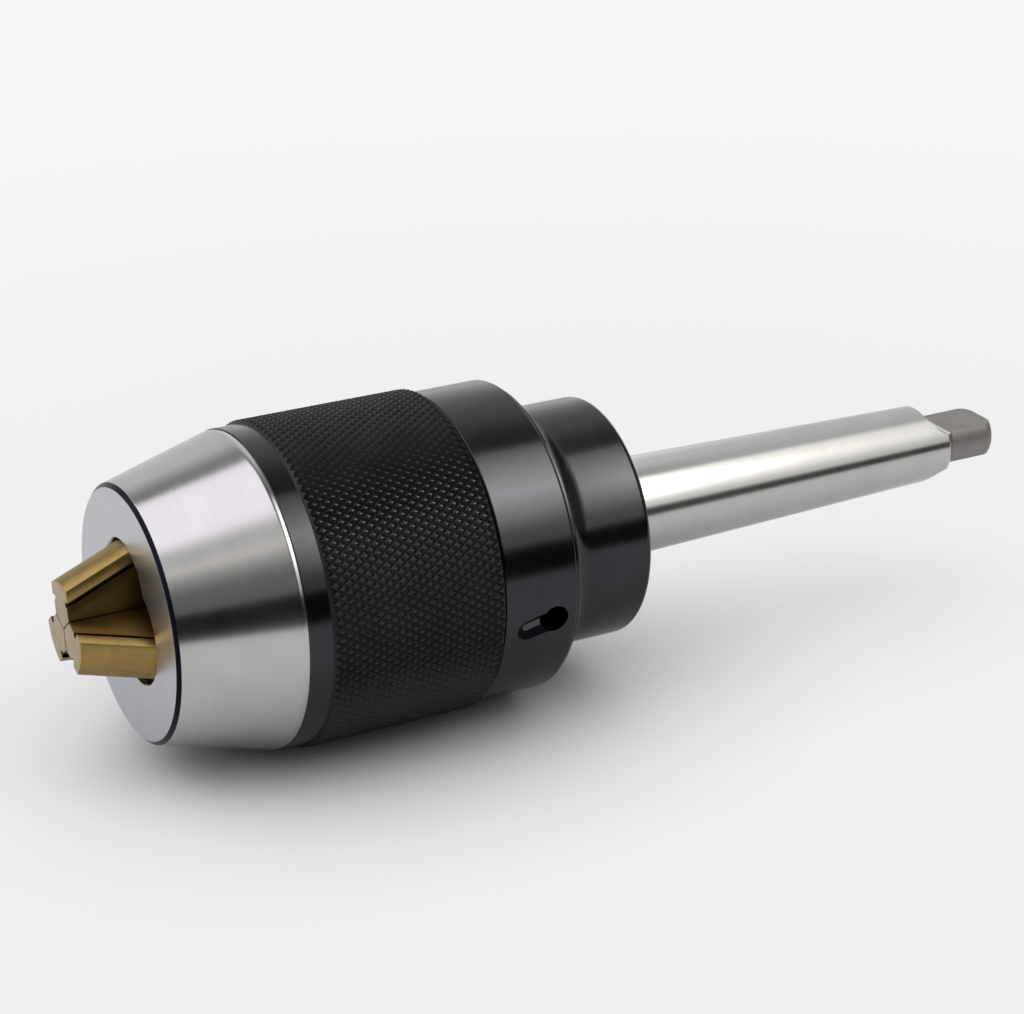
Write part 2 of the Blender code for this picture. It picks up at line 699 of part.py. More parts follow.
def main():
    clear_scene()
    jaw_angles = [JAW_FIRST_ANGLE + 2 * math.pi * index / JAW_COUNT for index in range(JAW_COUNT)]
    sleeve_axis = add_empty("sleeve_axis")
    cage_axis = add_empty("cage_axis")
    guide_axis = add_empty("guide_axis", sleeve_axis)
    build_arbor()
    build_rear_collar()
    build_core()
    build_races(sleeve_axis)
    build_ball_cage(cage_axis)
    build_balls(cage_axis)
    build_rear_ring(sleeve_axis)
    build_dust_seal(sleeve_axis)
    build_knurled_sleeve(sleeve_axis)
    build_nose_hood(sleeve_axis, jaw_angles)
    build_jaws(sleeve_axis, jaw_angles)
    build_jaw_guide(guide_axis, jaw_angles)
    build_feed_screw(guide_axis)


main()
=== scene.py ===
"""Looks of a keyless drill chuck on a Morse taper shank.

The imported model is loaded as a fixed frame, with the chuck's axis on X, the nose towards -X and
the tang towards +X. Every piece takes its stations along the axis from its own node in the frame.
Polar angles run round the axis from +Z towards -Y, as a turn about +X does.
"""
import logging
import math
from collections.abc import Callable, Iterable
from dataclasses import dataclass, field, replace
from enum import Enum

import bmesh
import bpy
from mathutils import Matrix, Vector


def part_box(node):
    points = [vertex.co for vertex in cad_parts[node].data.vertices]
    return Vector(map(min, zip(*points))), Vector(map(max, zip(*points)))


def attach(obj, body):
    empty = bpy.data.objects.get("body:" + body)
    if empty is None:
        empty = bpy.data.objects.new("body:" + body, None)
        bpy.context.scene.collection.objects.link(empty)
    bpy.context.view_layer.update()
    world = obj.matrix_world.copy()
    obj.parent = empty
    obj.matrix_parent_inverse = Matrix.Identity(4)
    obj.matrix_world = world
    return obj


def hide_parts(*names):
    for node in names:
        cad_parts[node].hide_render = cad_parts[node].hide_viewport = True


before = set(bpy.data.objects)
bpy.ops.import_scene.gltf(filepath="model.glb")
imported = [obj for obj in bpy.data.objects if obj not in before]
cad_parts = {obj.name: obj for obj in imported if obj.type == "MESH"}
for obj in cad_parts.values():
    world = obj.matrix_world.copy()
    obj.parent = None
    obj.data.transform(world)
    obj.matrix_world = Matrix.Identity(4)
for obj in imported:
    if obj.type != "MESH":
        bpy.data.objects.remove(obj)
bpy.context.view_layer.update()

LOG = logging.getLogger("drill_chuck")
MM = 0.001
SMOOTH_ANGLE = math.radians(30.0)
MERGE_DISTANCE = 0.0002 * MM

Colour = tuple[float, float, float]
Point2 = tuple[float, float]
Point3 = tuple[float, float, float]
Step = tuple[float, float]


class Wire:
    """A shader socket that adds nodes when it is used in an expression."""

    def __init__(self, tree: "ShaderTree", socket: bpy.types.NodeSocket) -> None:
        """Hold one output socket of a tree."""
        self.tree = tree
        self.socket = socket

    def _math(self, operation: str, *values: "Wire | float") -> "Wire":
        """Add a Math node that works on the given values."""
        return self.tree.node("ShaderNodeMath", {"operation": operation}, values)

    def __add__(self, other: "Wire | float") -> "Wire":
        """Sum of two values."""
        return self._math("ADD", self, other)

    __radd__ = __add__

    def __sub__(self, other: "Wire | float") -> "Wire":
        """This value less another."""
        return self._math("SUBTRACT", self, other)

    def __rsub__(self, other: "Wire | float") -> "Wire":
        """Another value less this one."""
        return self._math("SUBTRACT", other, self)

    def __mul__(self, other: "Wire | float") -> "Wire":
        """Product of two values."""
        return self._math("MULTIPLY", self, other)

    __rmul__ = __mul__

    def __truediv__(self, other: "Wire | float") -> "Wire":
        """This value divided by another."""
        return self._math("DIVIDE", self, other)

    def __neg__(self) -> "Wire":
        """This value with its sign changed."""
        return self._math("MULTIPLY", self, -1.0)

    def __abs__(self) -> "Wire":
        """This value without its sign."""
        return self._math("ABSOLUTE", self)

    def root(self) -> "Wire":
        """Square root of this value."""
        return self._math("SQRT", self)

    def least(self, other: "Wire | float") -> "Wire":
        """The smaller of two values."""
        return self._math("MINIMUM", self, other)

    def most(self, other: "Wire | float") -> "Wire":
        """The larger of two values."""
        return self._math("MAXIMUM", self, other)

    def angle_from(self, other: "Wire") -> "Wire":
        """Angle in degrees whose sine goes with this value and whose cosine with the other."""
        return self._math("ARCTAN2", self, other) * math.degrees(1.0)

    def rise(self, low: "Wire | float", high: "Wire | float") -> "Wire":
        """Smooth step of this value.

        Args:
            low: Where the step leaves 0.
            high: Where the step reaches 1.

        Returns:
            The step's height, from 0 to 1.
        """
        return self.tree.node(
            "ShaderNodeMapRange", {"interpolation_type": "SMOOTHSTEP"},
            {"Value": self, "From Min": low, "From Max": high})


class ShaderTree:
    """A node tree that is built by calls."""

    def __init__(self, tree: bpy.types.NodeTree) -> None:
        """Start from an empty tree."""
        self.tree = tree
        tree.nodes.clear()

    def node(
        self, kind: str, settings: dict[str, object], values: Iterable | dict,
        output: int | str = 0,
    ) -> Wire | None:
        """Add one node.

        Args:
            kind: The node's type.
            settings: The node's own settings, set before its sockets.
            values: Numbers, colours or wires for the sockets, in order or by name.
            output: Which output is wanted.

        Returns:
            The wanted output, or nothing for a node that has none.
        """
        made = self.tree.nodes.new(kind)
        for name, value in settings.items():
            setattr(made, name, value)
        items = values.items() if isinstance(values, dict) else enumerate(values)
        for key, value in items:
            if isinstance(value, Wire):
                self.tree.links.new(value.socket, made.inputs[key])
            else:
                made.inputs[key].default_value = value
        return Wire(self, made.outputs[output]) if len(made.outputs) else None

    def parts(self, vector: Wire) -> tuple[Wire, Wire, Wire]:
        """Split a vector.

        Args:
            vector: The vector.

        Returns:
            Its three numbers.
        """
        split = self.node("ShaderNodeSeparateXYZ", {}, [vector])
        outputs = split.socket.node.outputs
        return Wire(self, outputs[0]), Wire(self, outputs[1]), Wire(self, outputs[2])

    def vector(self, x: Wire | float, y: Wire | float, z: Wire | float) -> Wire:
        """Join three numbers into a vector."""
        return self.node("ShaderNodeCombineXYZ", {}, [x, y, z])

    def noise(self, vector: Wire, scale: float, detail: float) -> Wire:
        """Noise from 0 to 1 at a place."""
        return self.node(
            "ShaderNodeTexNoise", {}, {"Vector": vector, "Scale": scale, "Detail": detail})

    def blend(self, factor: Wire, first: "Wire | tuple", second: "Wire | tuple") -> Wire:
        """Mix two colours by a factor from 0 to 1."""
        return self.node(
            "ShaderNodeMix", {"data_type": "RGBA"}, {0: factor, 6: first, 7: second}, output=2)


def rgba(colour: Colour, level: float = 1.0) -> tuple[float, float, float, float]:
    """A colour at a level, with its alpha."""
    return (colour[0] * level, colour[1] * level, colour[2] * level, 1.0)


class Marks(Enum):
    """Which way the fine tool marks of a finish run."""

    AROUND = "round the chuck's axis"
    RINGS = "in rings on a flat end"
    LENGTHWISE = "along the chuck"
    EVEN = "no direction"


@dataclass(frozen=True)
class Finish:
    """A metal or rubber surface with fine tool marks."""

    name: str
    slot: str
    colour: Colour
    roughness: float
    metallic: float = 1.0
    marks: Marks = Marks.AROUND
    mark_pitch: float = 0.22 * MM
    mark_spread: float = 9.0 * MM
    mark_depth: float = 0.0006 * MM
    roughness_spread: float = 0.06
    patch_size: float = 6.0 * MM
    patch_change: float = 0.08
    patch_share: float = 0.6
    contrast: Step = (0.3, 0.7)

    @property
    def title(self) -> str:
        """Name of the finish's material."""
        return f"{self.name}_finish"

    def _mark_place(self, tree: ShaderTree, place: Wire) -> Wire:
        """Squeeze a place so that the marks' noise runs the way they do.

        Args:
            tree: The material's tree.
            place: The place in Object coordinates.

        Returns:
            The place for the marks' noise.
        """
        x, y, z = tree.parts(place)
        fine, coarse = 1.0 / self.mark_pitch, 1.0 / self.mark_spread
        if self.marks is Marks.AROUND:
            return tree.vector(x * fine, y * coarse, z * coarse)
        if self.marks is Marks.RINGS:
            return tree.vector((y * y + z * z).root() * fine, y * coarse, z * coarse)
        if self.marks is Marks.LENGTHWISE:
            return tree.vector(x * coarse, y * fine, z * fine)
        return tree.vector(x * fine, y * fine, z * fine)

    def material(self) -> bpy.types.Material:
        """Make the finish's material, unless an earlier piece has.

        Returns:
            The material.
        """
        found = bpy.data.materials.get(self.title)
        if found is not None:
            return found
        made = bpy.data.materials.new(self.title)
        made.use_nodes = True
        made.diffuse_color = rgba(self.colour)
        tree = ShaderTree(made.node_tree)
        place = tree.node("ShaderNodeTexCoord", {}, [], output="Object")
        marks = tree.noise(self._mark_place(tree, place), 1.0, 3.0)
        patches = tree.noise(place, 1.0 / self.patch_size, 2.0)
        darker = rgba(self.colour, 1.0 - self.patch_change)
        lighter = rgba(self.colour, 1.0 + self.patch_change)
        patchiness = patches.rise(*self.contrast) * self.patch_share
        markedness = marks.rise(*self.contrast) * (1.0 - self.patch_share)
        colour = tree.blend(patchiness + markedness, darker, lighter)
        spread = (marks - 0.5) * self.roughness_spread + (patches - 0.5) * self.roughness_spread
        normal = tree.node(
            "ShaderNodeBump", {}, {"Strength": 1.0, "Distance": self.mark_depth, "Height": marks})
        shader = tree.node("ShaderNodeBsdfPrincipled", {}, {
            "Base Color": colour, "Metallic": self.metallic, "Roughness": spread + self.roughness,
            "Normal": normal})
        tree.node("ShaderNodeOutputMaterial", {}, [shader])
        return made


GROUND_CONE = Finish(
    "ground_cone", "ground_steel", (0.61, 0.60, 0.59), 0.17, mark_depth=0.0003 * MM,
    roughness_spread=0.04, patch_change=0.04)
GROUND_SHANK = Finish(
    "ground_shank", "ground_steel", (0.61, 0.605, 0.59), 0.19, mark_pitch=0.3 * MM,
    mark_depth=0.0003 * MM, roughness_spread=0.04, patch_change=0.04)
TURNED_FACE = Finish(
    "turned_face", "ground_steel", (0.67, 0.67, 0.675), 0.30, marks=Marks.RINGS,
    mark_pitch=0.35 * MM, roughness_spread=0.04, patch_change=0.04)
MILLED_TANG = Finish(
    "milled_tang", "ground_steel", (0.33, 0.315, 0.30), 0.50, marks=Marks.EVEN, mark_pitch=0.6 * MM,
    mark_depth=0.004 * MM)
NECK_STEEL = Finish("neck_steel", "ground_steel", (0.12, 0.12, 0.12), 0.35)
BLACK_OXIDE = Finish(
    "black_oxide", "black_oxide", (0.056, 0.055, 0.060), 0.17, mark_pitch=0.25 * MM,
    patch_change=0.10)
# Knurl finish: the knurl's black oxide, rougher and darker than the smooth band; the extra darkness
# is painted shade of the knurl's deep flanks and valleys.
BLACK_KNURL_PAINTED_SHADE = Finish(
    "black_knurl_painted_shade", "black_oxide", (0.038, 0.038, 0.040), 0.44, marks=Marks.EVEN,
    mark_pitch=0.5 * MM, patch_change=0.12)
# Painted glint: a lighter, smoother copy of the knurl finish for the knurl's flattened points, so
# that they shine as bright spots.
PAINTED_GLINT_POINT = replace(
    BLACK_KNURL_PAINTED_SHADE, name="painted_glint_point", colour=(0.066, 0.066, 0.068), roughness=0.32,
    patch_change=0.20)
BLACK_RIM = Finish("black_rim", "black_oxide", (0.008, 0.009, 0.016), 0.30)
# Painted shade: near-black finish for the walls of the spanner recess.
RECESS_WALL_PAINTED_SHADE = Finish("recess_wall_painted_shade", "black_oxide", (0.008, 0.008, 0.011), 0.55)
# Painted light: the slot's floor is lighter than the ring's black oxide, as a painted reflection of
# the bright room in the slot.
RECESS_FLOOR_PAINTED_LIGHT = Finish("recess_floor_painted_light", "black_oxide", (0.11, 0.11, 0.115), 0.35)
# Painted light: a pale, part-diffuse copy of the ground steel for the walls of the jaws' holes near
# the face, so that the gaps round the jaws look lit.
HOLE_WALL_PAINTED_LIGHT = Finish("hole_wall_painted_light", "ground_steel", (0.70, 0.71, 0.76), 0.50, metallic=0.35)
GOLD_COATING = Finish(
    "gold_coating", "gold_coating", (0.36, 0.248, 0.082), 0.35, marks=Marks.LENGTHWISE,
    mark_pitch=0.25 * MM, mark_spread=6.0 * MM, mark_depth=0.0005 * MM, patch_size=2.5 * MM,
    patch_change=0.12)
# Painted shade: a dark brown copy of the gold coating for the jaws' flanks below the groove.
GOLD_FLANK_PAINTED_SHADE = replace(
    GOLD_COATING, name="gold_flank_painted_shade", colour=(0.11, 0.066, 0.018), roughness=0.40,
    mark_depth=0.001 * MM, roughness_spread=0.12, patch_change=0.16)
# Painted shade: a near-black copy of the gold coating inside the jaws' grooves.
GOLD_GROOVE_PAINTED_SHADE = replace(
    GOLD_COATING, name="gold_groove_painted_shade", colour=(0.045, 0.03, 0.012), roughness=0.50,
    mark_depth=0.0006 * MM, patch_change=0.08)
GOLD_TIP = Finish(
    "gold_tip", "gold_coating", (0.50, 0.40, 0.25), 0.34, marks=Marks.EVEN, mark_pitch=0.5 * MM,
    mark_depth=0.002 * MM, patch_size=2.0 * MM, patch_change=0.10)
DARK_STEEL = Finish("dark_steel", "dark_steel", (0.20, 0.20, 0.21), 0.36)
BEARING_STEEL = Finish("bearing_steel", "bearing_steel", (0.66, 0.66, 0.67), 0.14)
CAGE_BRASS = Finish("cage_brass", "cage_brass", (0.58, 0.42, 0.19), 0.32)
SEAL_RUBBER = Finish(
    "seal_rubber", "seal_rubber", (0.022, 0.022, 0.022), 0.72, metallic=0.0, marks=Marks.EVEN,
    mark_pitch=0.4 * MM, mark_depth=0.01 * MM)


@dataclass
class Section:
    """Half section of a turned piece, as corners that may be rounded."""

    arc_steps: int = 5
    support: float = 0.06 * MM
    corners: list[tuple[float, float, float]] = field(default_factory=list)

    def corner(self, x: float, radius: float, fillet: float = 0.0) -> "Section":
        """Add a corner.

        Args:
            x: The corner's station along the axis.
            radius: Its distance from the axis.
            fillet: Radius of its rounding, or 0 for a sharp corner.

        Returns:
            The section itself, for the next corner.
        """
        self.corners.append((x, radius, fillet))
        return self

    def _rounded(self, before: Vector, at: Vector, after: Vector, fillet: float) -> list[Point2]:
        """Round one corner.

        Args:
            before: The corner before it.
            at: The corner itself.
            after: The corner after it.
            fillet: Radius of the rounding.

        Returns:
            The arc's points, with a support point on each side.
        """
        back, ahead = (before - at).normalized(), (after - at).normalized()
        half = back.angle(ahead) / 2
        reach = fillet / math.tan(half)
        centre = at + (back + ahead).normalized() * (fillet / math.sin(half))
        start, end = at + back * reach - centre, at + ahead * reach - centre
        turn = start.angle_signed(end)
        arc = [
            centre + Matrix.Rotation(-turn * step / self.arc_steps, 2) @ start
            for step in range(self.arc_steps + 1)]
        ends = [at + back * (reach + self.support), at + ahead * (reach + self.support)]
        return [tuple(point) for point in [ends[0], *arc, ends[1]]]

    def points(self) -> list[Point2]:
        """Work out the outline.

        Returns:
            Its points in order, with the arcs of its rounded corners.
        """
        outline: list[Point2] = []
        places = [Vector(corner[:2]) for corner in self.corners]
        for index, (x, radius, fillet) in enumerate(self.corners):
            if fillet > 0.0:
                after = places[(index + 1) % len(places)]
                outline += self._rounded(places[index - 1], places[index], after, fillet)
            else:
                outline.append((x, radius))
        return outline

    def turned(self, segments: int, closed: bool = True) -> bmesh.types.BMesh:
        """Spin the section round the chuck's axis.

        Args:
            segments: Steps of the full turn.
            closed: Whether the section is a ring; an open one starts and ends on the axis.

        Returns:
            The closed surface, facing outwards.
        """
        bm = bmesh.new()
        verts = [bm.verts.new((x, 0.0, radius)) for x, radius in self.points()]
        following = verts[1:] + (verts[:1] if closed else [])
        edges = [bm.edges.new(pair) for pair in zip(verts, following)]
        bmesh.ops.spin(
            bm, geom=verts + edges, cent=(0.0, 0.0, 0.0), axis=(1.0, 0.0, 0.0),
            dvec=(0.0, 0.0, 0.0), angle=2 * math.pi, steps=segments, use_merge=True)
        bmesh.ops.remove_doubles(bm, verts=bm.verts, dist=MERGE_DISTANCE)
        bmesh.ops.recalc_face_normals(bm, faces=bm.faces)
        return bm


def polar(point: Vector) -> float:
    """Angle of a point round the axis, from +Z towards -Y, in radians."""
    return math.atan2(-point.y, point.z)


def arc(centre: Point2, radius: float, start: float, turn: float, steps: int) -> list[Point2]:
    """Lay points along an arc.

    Args:
        centre: The arc's centre.
        radius: Its radius.
        start: Angle of its first point, in radians.
        turn: How far it turns from there.
        steps: Steps from its first point to its last.

    Returns:
        The points, both ends included.
    """
    angles = [start + turn * step / steps for step in range(steps + 1)]
    return [
        (centre[0] + radius * math.cos(angle), centre[1] + radius * math.sin(angle))
        for angle in angles]


def prism(
    outline: Iterable[Point3], way: Vector,
) -> tuple[bmesh.types.BMesh, list[bmesh.types.BMVert]]:
    """Extrude a flat outline.

    Args:
        outline: The outline's points, in order.
        way: How far it is drawn, and which way.

    Returns:
        The closed shape, facing outwards, and the points of its far end.
    """
    bm = bmesh.new()
    face = bm.faces.new([bm.verts.new(point) for point in outline])
    grown = bmesh.ops.extrude_face_region(bm, geom=[face])["geom"]
    far_end = [item for item in grown if isinstance(item, bmesh.types.BMVert)]
    bmesh.ops.translate(bm, verts=far_end, vec=way)
    bmesh.ops.recalc_face_normals(bm, faces=bm.faces)
    return bm, far_end


def add_mesh(name: str, bm: bmesh.types.BMesh, *finishes: Finish) -> bpy.types.Object:
    """Store a bmesh as a smooth object with its finishes, at the origin.

    Args:
        name: The object's name.
        bm: The finished surface, which is freed.
        finishes: The finishes for the faces' material numbers, in order.

    Returns:
        The new object.
    """
    mesh = bpy.data.meshes.new(name)
    bm.to_mesh(mesh)
    bm.free()
    mesh.shade_smooth()
    mesh.set_sharp_from_angle(angle=SMOOTH_ANGLE)
    for finish in finishes:
        mesh.materials.append(finish.material())
    made = bpy.data.objects.new(name, mesh)
    bpy.context.scene.collection.objects.link(made)
    return made


def cut(piece: bpy.types.Object, cutters: Iterable[bmesh.types.BMesh]) -> None:
    """Cut closed shapes out of a piece, and keep the result as its mesh.

    Args:
        piece: The object to cut.
        cutters: The shapes, which are freed.
    """
    for number, shape in enumerate(cutters):
        cutter = add_mesh(f"{piece.name}_cutter_{number}", shape)
        cutter.data.materials.append(piece.data.materials[0])
        modifier = piece.modifiers.new("cut", "BOOLEAN")
        modifier.operation = "DIFFERENCE"
        modifier.solver = "EXACT"
        modifier.object = cutter
        bpy.context.view_layer.update()
        seen = piece.evaluated_get(bpy.context.evaluated_depsgraph_get())
        result = bpy.data.meshes.new_from_object(seen)
        piece.modifiers.clear()
        piece.data = result
        bpy.data.objects.remove(cutter)
    piece.data.set_sharp_from_angle(angle=SMOOTH_ANGLE)


def paint(
    piece: bpy.types.Object, finish: Finish, belongs: Callable[[Vector, Vector], bool],
) -> None:
    """Give faces another of the piece's finishes.

    Args:
        piece: The object to paint.
        finish: The finish, one of those that the piece was made with.
        belongs: Tells from a face's centre and normal whether it gets that finish.
    """
    number = piece.data.materials.find(finish.title)
    for face in piece.data.polygons:
        if belongs(face.center, face.normal):
            face.material_index = number


def deliver(piece: bpy.types.Object, body: str, slot: str, *nodes: str) -> bpy.types.Object:
    """Put a finished piece on its body in place of its CAD nodes.

    Args:
        piece: The finished piece.
        body: The body that it rides on.
        slot: Its material slot; not used.
        nodes: The CAD nodes that it replaces.

    Returns:
        The piece.
    """
    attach(piece, body)
    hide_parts(*nodes)
    LOG.info("%s rides on %s, %d faces", piece.name, body, len(piece.data.polygons))
    return piece


@dataclass(frozen=True)
class Span:
    """Where a node lies: its two stations along the axis and its outer radius."""

    front: float
    rear: float
    radius: float

    @classmethod
    def of(cls, node: str) -> "Span":
        """Read a turned node's span from the frame."""
        low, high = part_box(node)
        return cls(low.x, high.x, max(high.z, high.y))


@dataclass(frozen=True)
class JawWay:
    """The sloping way that one jaw runs along, which reaches the axis at the jaw's tip."""

    number: int
    count: int = 3
    first_angle: float = -9.0
    slope: float = 21.5

    @classmethod
    def all(cls) -> "list[JawWay]":
        """The ways of all the jaws."""
        return [cls(number) for number in range(1, cls.count + 1)]

    @property
    def turn(self) -> Matrix:
        """Turn round the chuck's axis from straight up to this jaw."""
        angle = self.first_angle + 360.0 * (self.number - 1) / self.count
        return Matrix.Rotation(math.radians(angle), 4, "X")

    def onto_slope(self) -> Matrix:
        """Work out the change that leans a shape on the chuck's axis onto this way.

        Returns:
            The change as a matrix.
        """
        rise, tip = math.tan(math.radians(self.slope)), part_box(f"jaw_{self.number}")[0].x
        lean = Matrix.Identity(4)
        lean[2][0], lean[2][3] = rise, -tip * rise
        return self.turn @ lean

    def height(self, at: Vector) -> float:
        """Height of a point above this way's middle line."""
        return (self.onto_slope().inverted() @ at).z


@dataclass
class NoseHood:
    """Bright ground cone with the sloping round holes that the jaws run in."""

    segments: int = 192
    land: float = 0.85 * MM
    face_diameter: float = 43.5 * MM
    rim_length: float = 0.65 * MM
    rim_depth: float = 0.74 * MM
    rear_diameter: float = 55.6 * MM
    face_rounding: float = 0.08 * MM
    rim_rounding: float = 0.10 * MM
    cavity_rounding: float = 1.0 * MM
    land_rounding: float = 2.5 * MM
    body_diameter: float = 50.7 * MM
    wall: float = 2.2 * MM
    cavity_depth: float = 18.99 * MM
    bore_diameter: float = 17.6 * MM
    hole_diameter: float = 16.64 * MM
    hole_edge: float = 0.7 * MM
    hole_rounding: float = 1.6 * MM
    hole_segments: int = 96
    overcut: float = 1.0 * MM
    mouth_depth: float = 2.0 * MM
    wall_margin: float = 0.1 * MM
    face_margin: float = 1.0 * MM
    face_tilt: float = 0.9
    rim_tilt: float = 0.45

    def section(self) -> Section:
        """Half section of the hood."""
        own, rear = Span.of("nose_hood"), Span.of("knurled_sleeve").front
        body, rear_radius = self.body_diameter / 2, self.rear_diameter / 2
        cavity, bore = body - self.wall, self.bore_diameter / 2
        face = self.face_diameter / 2
        cavity_front = own.front + self.cavity_depth
        return (
            Section()
            .corner(own.front, bore)
            .corner(own.front, face, self.face_rounding)
            .corner(own.front + self.rim_length, face + self.rim_depth, self.rim_rounding)
            .corner(rear - self.land, rear_radius, self.land_rounding)
            .corner(rear, rear_radius)
            .corner(rear, body)
            .corner(own.rear, body)
            .corner(own.rear, cavity)
            .corner(cavity_front, cavity, self.cavity_rounding)
            .corner(cavity_front, bore))

    def hole(self, way: JawWay) -> bmesh.types.BMesh:
        """Model the sloping round hole that one jaw runs in, with a soft edge at the face.

        Args:
            way: The jaw's way.

        Returns:
            The shape to cut out.
        """
        own = Span.of("nose_hood")
        radius, edge, beyond = self.hole_diameter / 2, self.hole_edge, self.overcut
        start, end = own.front - beyond, own.front + self.cavity_depth + beyond
        bm = (
            Section()
            .corner(start, 0.0)
            .corner(start, radius + edge + beyond)
            .corner(own.front + edge, radius, self.hole_rounding)
            .corner(end, radius)
            .corner(end, 0.0)
            .turned(self.hole_segments, closed=False))
        bmesh.ops.transform(bm, matrix=way.onto_slope(), verts=bm.verts)
        return bm

    def build(self) -> None:
        """Model the hood, dress its cone, face and rim, and paint light on the walls of the jaws'
        holes.
        """
        own = Span.of("nose_hood")
        finishes = (GROUND_CONE, TURNED_FACE, BLACK_RIM, HOLE_WALL_PAINTED_LIGHT)
        piece = add_mesh("hood", self.section().turned(self.segments), *finishes)
        cut(piece, [self.hole(way) for way in JawWay.all()])
        hole_front = own.front + self.mouth_depth
        hole_rear = own.front + self.cavity_depth - self.wall_margin
        reach = self.face_diameter / 2 - self.face_margin
        rim_end = own.front + self.rim_length
        # Painted light on the walls of the jaws' holes, behind the mouth.
        paint(piece, HOLE_WALL_PAINTED_LIGHT, lambda at, way: (
            hole_front < at.x < hole_rear and at.yz.length < reach))
        paint(piece, TURNED_FACE, lambda at, way: way.x < -self.face_tilt and at.x < rim_end)
        paint(piece, BLACK_RIM, lambda at, way: (
            -self.face_tilt < way.x < -self.rim_tilt and at.x < rim_end and at.yz.length > reach))
        deliver(piece, "sleeve", "ground_steel", "nose_hood")


@dataclass
class KnurledSleeve:
    """Black gripping sleeve with a diamond knurl behind a smooth band."""

    diamonds_around: int = 115
    diamonds_along: int = 13
    knurl_depth: float = 0.36 * MM
    flattened: float = 0.24
    band_diameter: float = 56.0 * MM
    band_length: float = 4.15 * MM
    wall: float = 2.35 * MM
    front_rounding: float = 0.1 * MM
    skin: float = 0.1 * MM
    point_depth: float = 0.03 * MM
    point_facing: float = 0.97

    @property
    def columns(self) -> int:
        """Half diamonds round the sleeve."""
        return 2 * self.diamonds_around

    def section(self) -> Section:
        """Half section of the sleeve, with one corner for each row of the knurl."""
        own = Span.of("knurled_sleeve")
        band = self.band_diameter / 2
        knurl_front = own.front + self.band_length
        section = (
            Section()
            .corner(own.front, band - self.wall)
            .corner(own.front, band, self.front_rounding)
            .corner(knurl_front, band))
        for station in self.rows():
            section.corner(station, own.radius)
        return section.corner(own.rear, band).corner(own.rear, band - self.wall)

    def rows(self) -> list[float]:
        """Work out where the knurl's half rows lie.

        Returns:
            Their stations along the axis, between the chamfers.
        """
        own = Span.of("knurled_sleeve")
        shoulder = own.radius - self.band_diameter / 2
        inset = shoulder - self.knurl_depth / 2
        first, last = own.front + self.band_length + inset, own.rear - inset
        count = 2 * self.diamonds_along
        return [first + (last - first) * row / count for row in range(count + 1)]

    def press(self, bm: bmesh.types.BMesh) -> None:
        """Press the knurl's grooves in and flatten the points between them.

        Args:
            bm: The turned sleeve, which is changed.
        """
        own, rows = Span.of("knurled_sleeve"), self.rows()
        valleys, peaks = [], []
        raised = self.knurl_depth * self.flattened / (1.0 - self.flattened)
        for vert in bm.verts:
            row = min(range(len(rows)), key=lambda index: abs(rows[index] - vert.co.x))
            off_row = abs(rows[row] - vert.co.x) > MERGE_DISTANCE
            if off_row or vert.co.yz.length < own.radius - self.skin:
                continue
            column = round(polar(vert.co) / (2 * math.pi) * self.columns)
            edge = {0: 1.0, len(rows) - 1: -1.0}.get(row, 0.0)
            if (row + column) % 2:
                peaks.append(vert)
                vert.co.x += edge * self.knurl_depth / 2
                vert.co.yz *= 1.0 + raised / own.radius
            else:
                valleys.append(vert)
                vert.co.x -= edge * self.knurl_depth / 2
                vert.co.yz *= 1.0 - self.knurl_depth / own.radius
        bmesh.ops.connect_verts(bm, verts=valleys)
        bmesh.ops.bevel(
            bm, geom=peaks, offset=100.0 * self.flattened, offset_type="PERCENT", segments=1,
            profile=0.5, affect="VERTICES", material=-1)

    def build(self) -> None:
        """Model the sleeve, with painted shade on its knurl and a painted glint on each of the
        knurl's flattened points.
        """
        own = Span.of("knurled_sleeve")
        bm = self.section().turned(self.columns)
        self.press(bm)
        piece = add_mesh("sleeve_knurled", bm, BLACK_OXIDE, BLACK_KNURL_PAINTED_SHADE, PAINTED_GLINT_POINT)
        knurl_front = own.front + self.band_length
        limit = self.band_diameter / 2 + self.skin
        top = own.radius - self.point_depth
        # Painted shade: the knurl's faces get the darker knurl finish.
        paint(piece, BLACK_KNURL_PAINTED_SHADE, lambda at, way: at.x > knurl_front and at.yz.length > limit)
        # Painted glint on the flattened points of the knurl.
        paint(piece, PAINTED_GLINT_POINT, lambda at, way: (
            at.yz.length > top and way.yz.dot(at.yz) > self.point_facing * top))
        deliver(piece, "sleeve", "black_oxide", "knurled_sleeve")


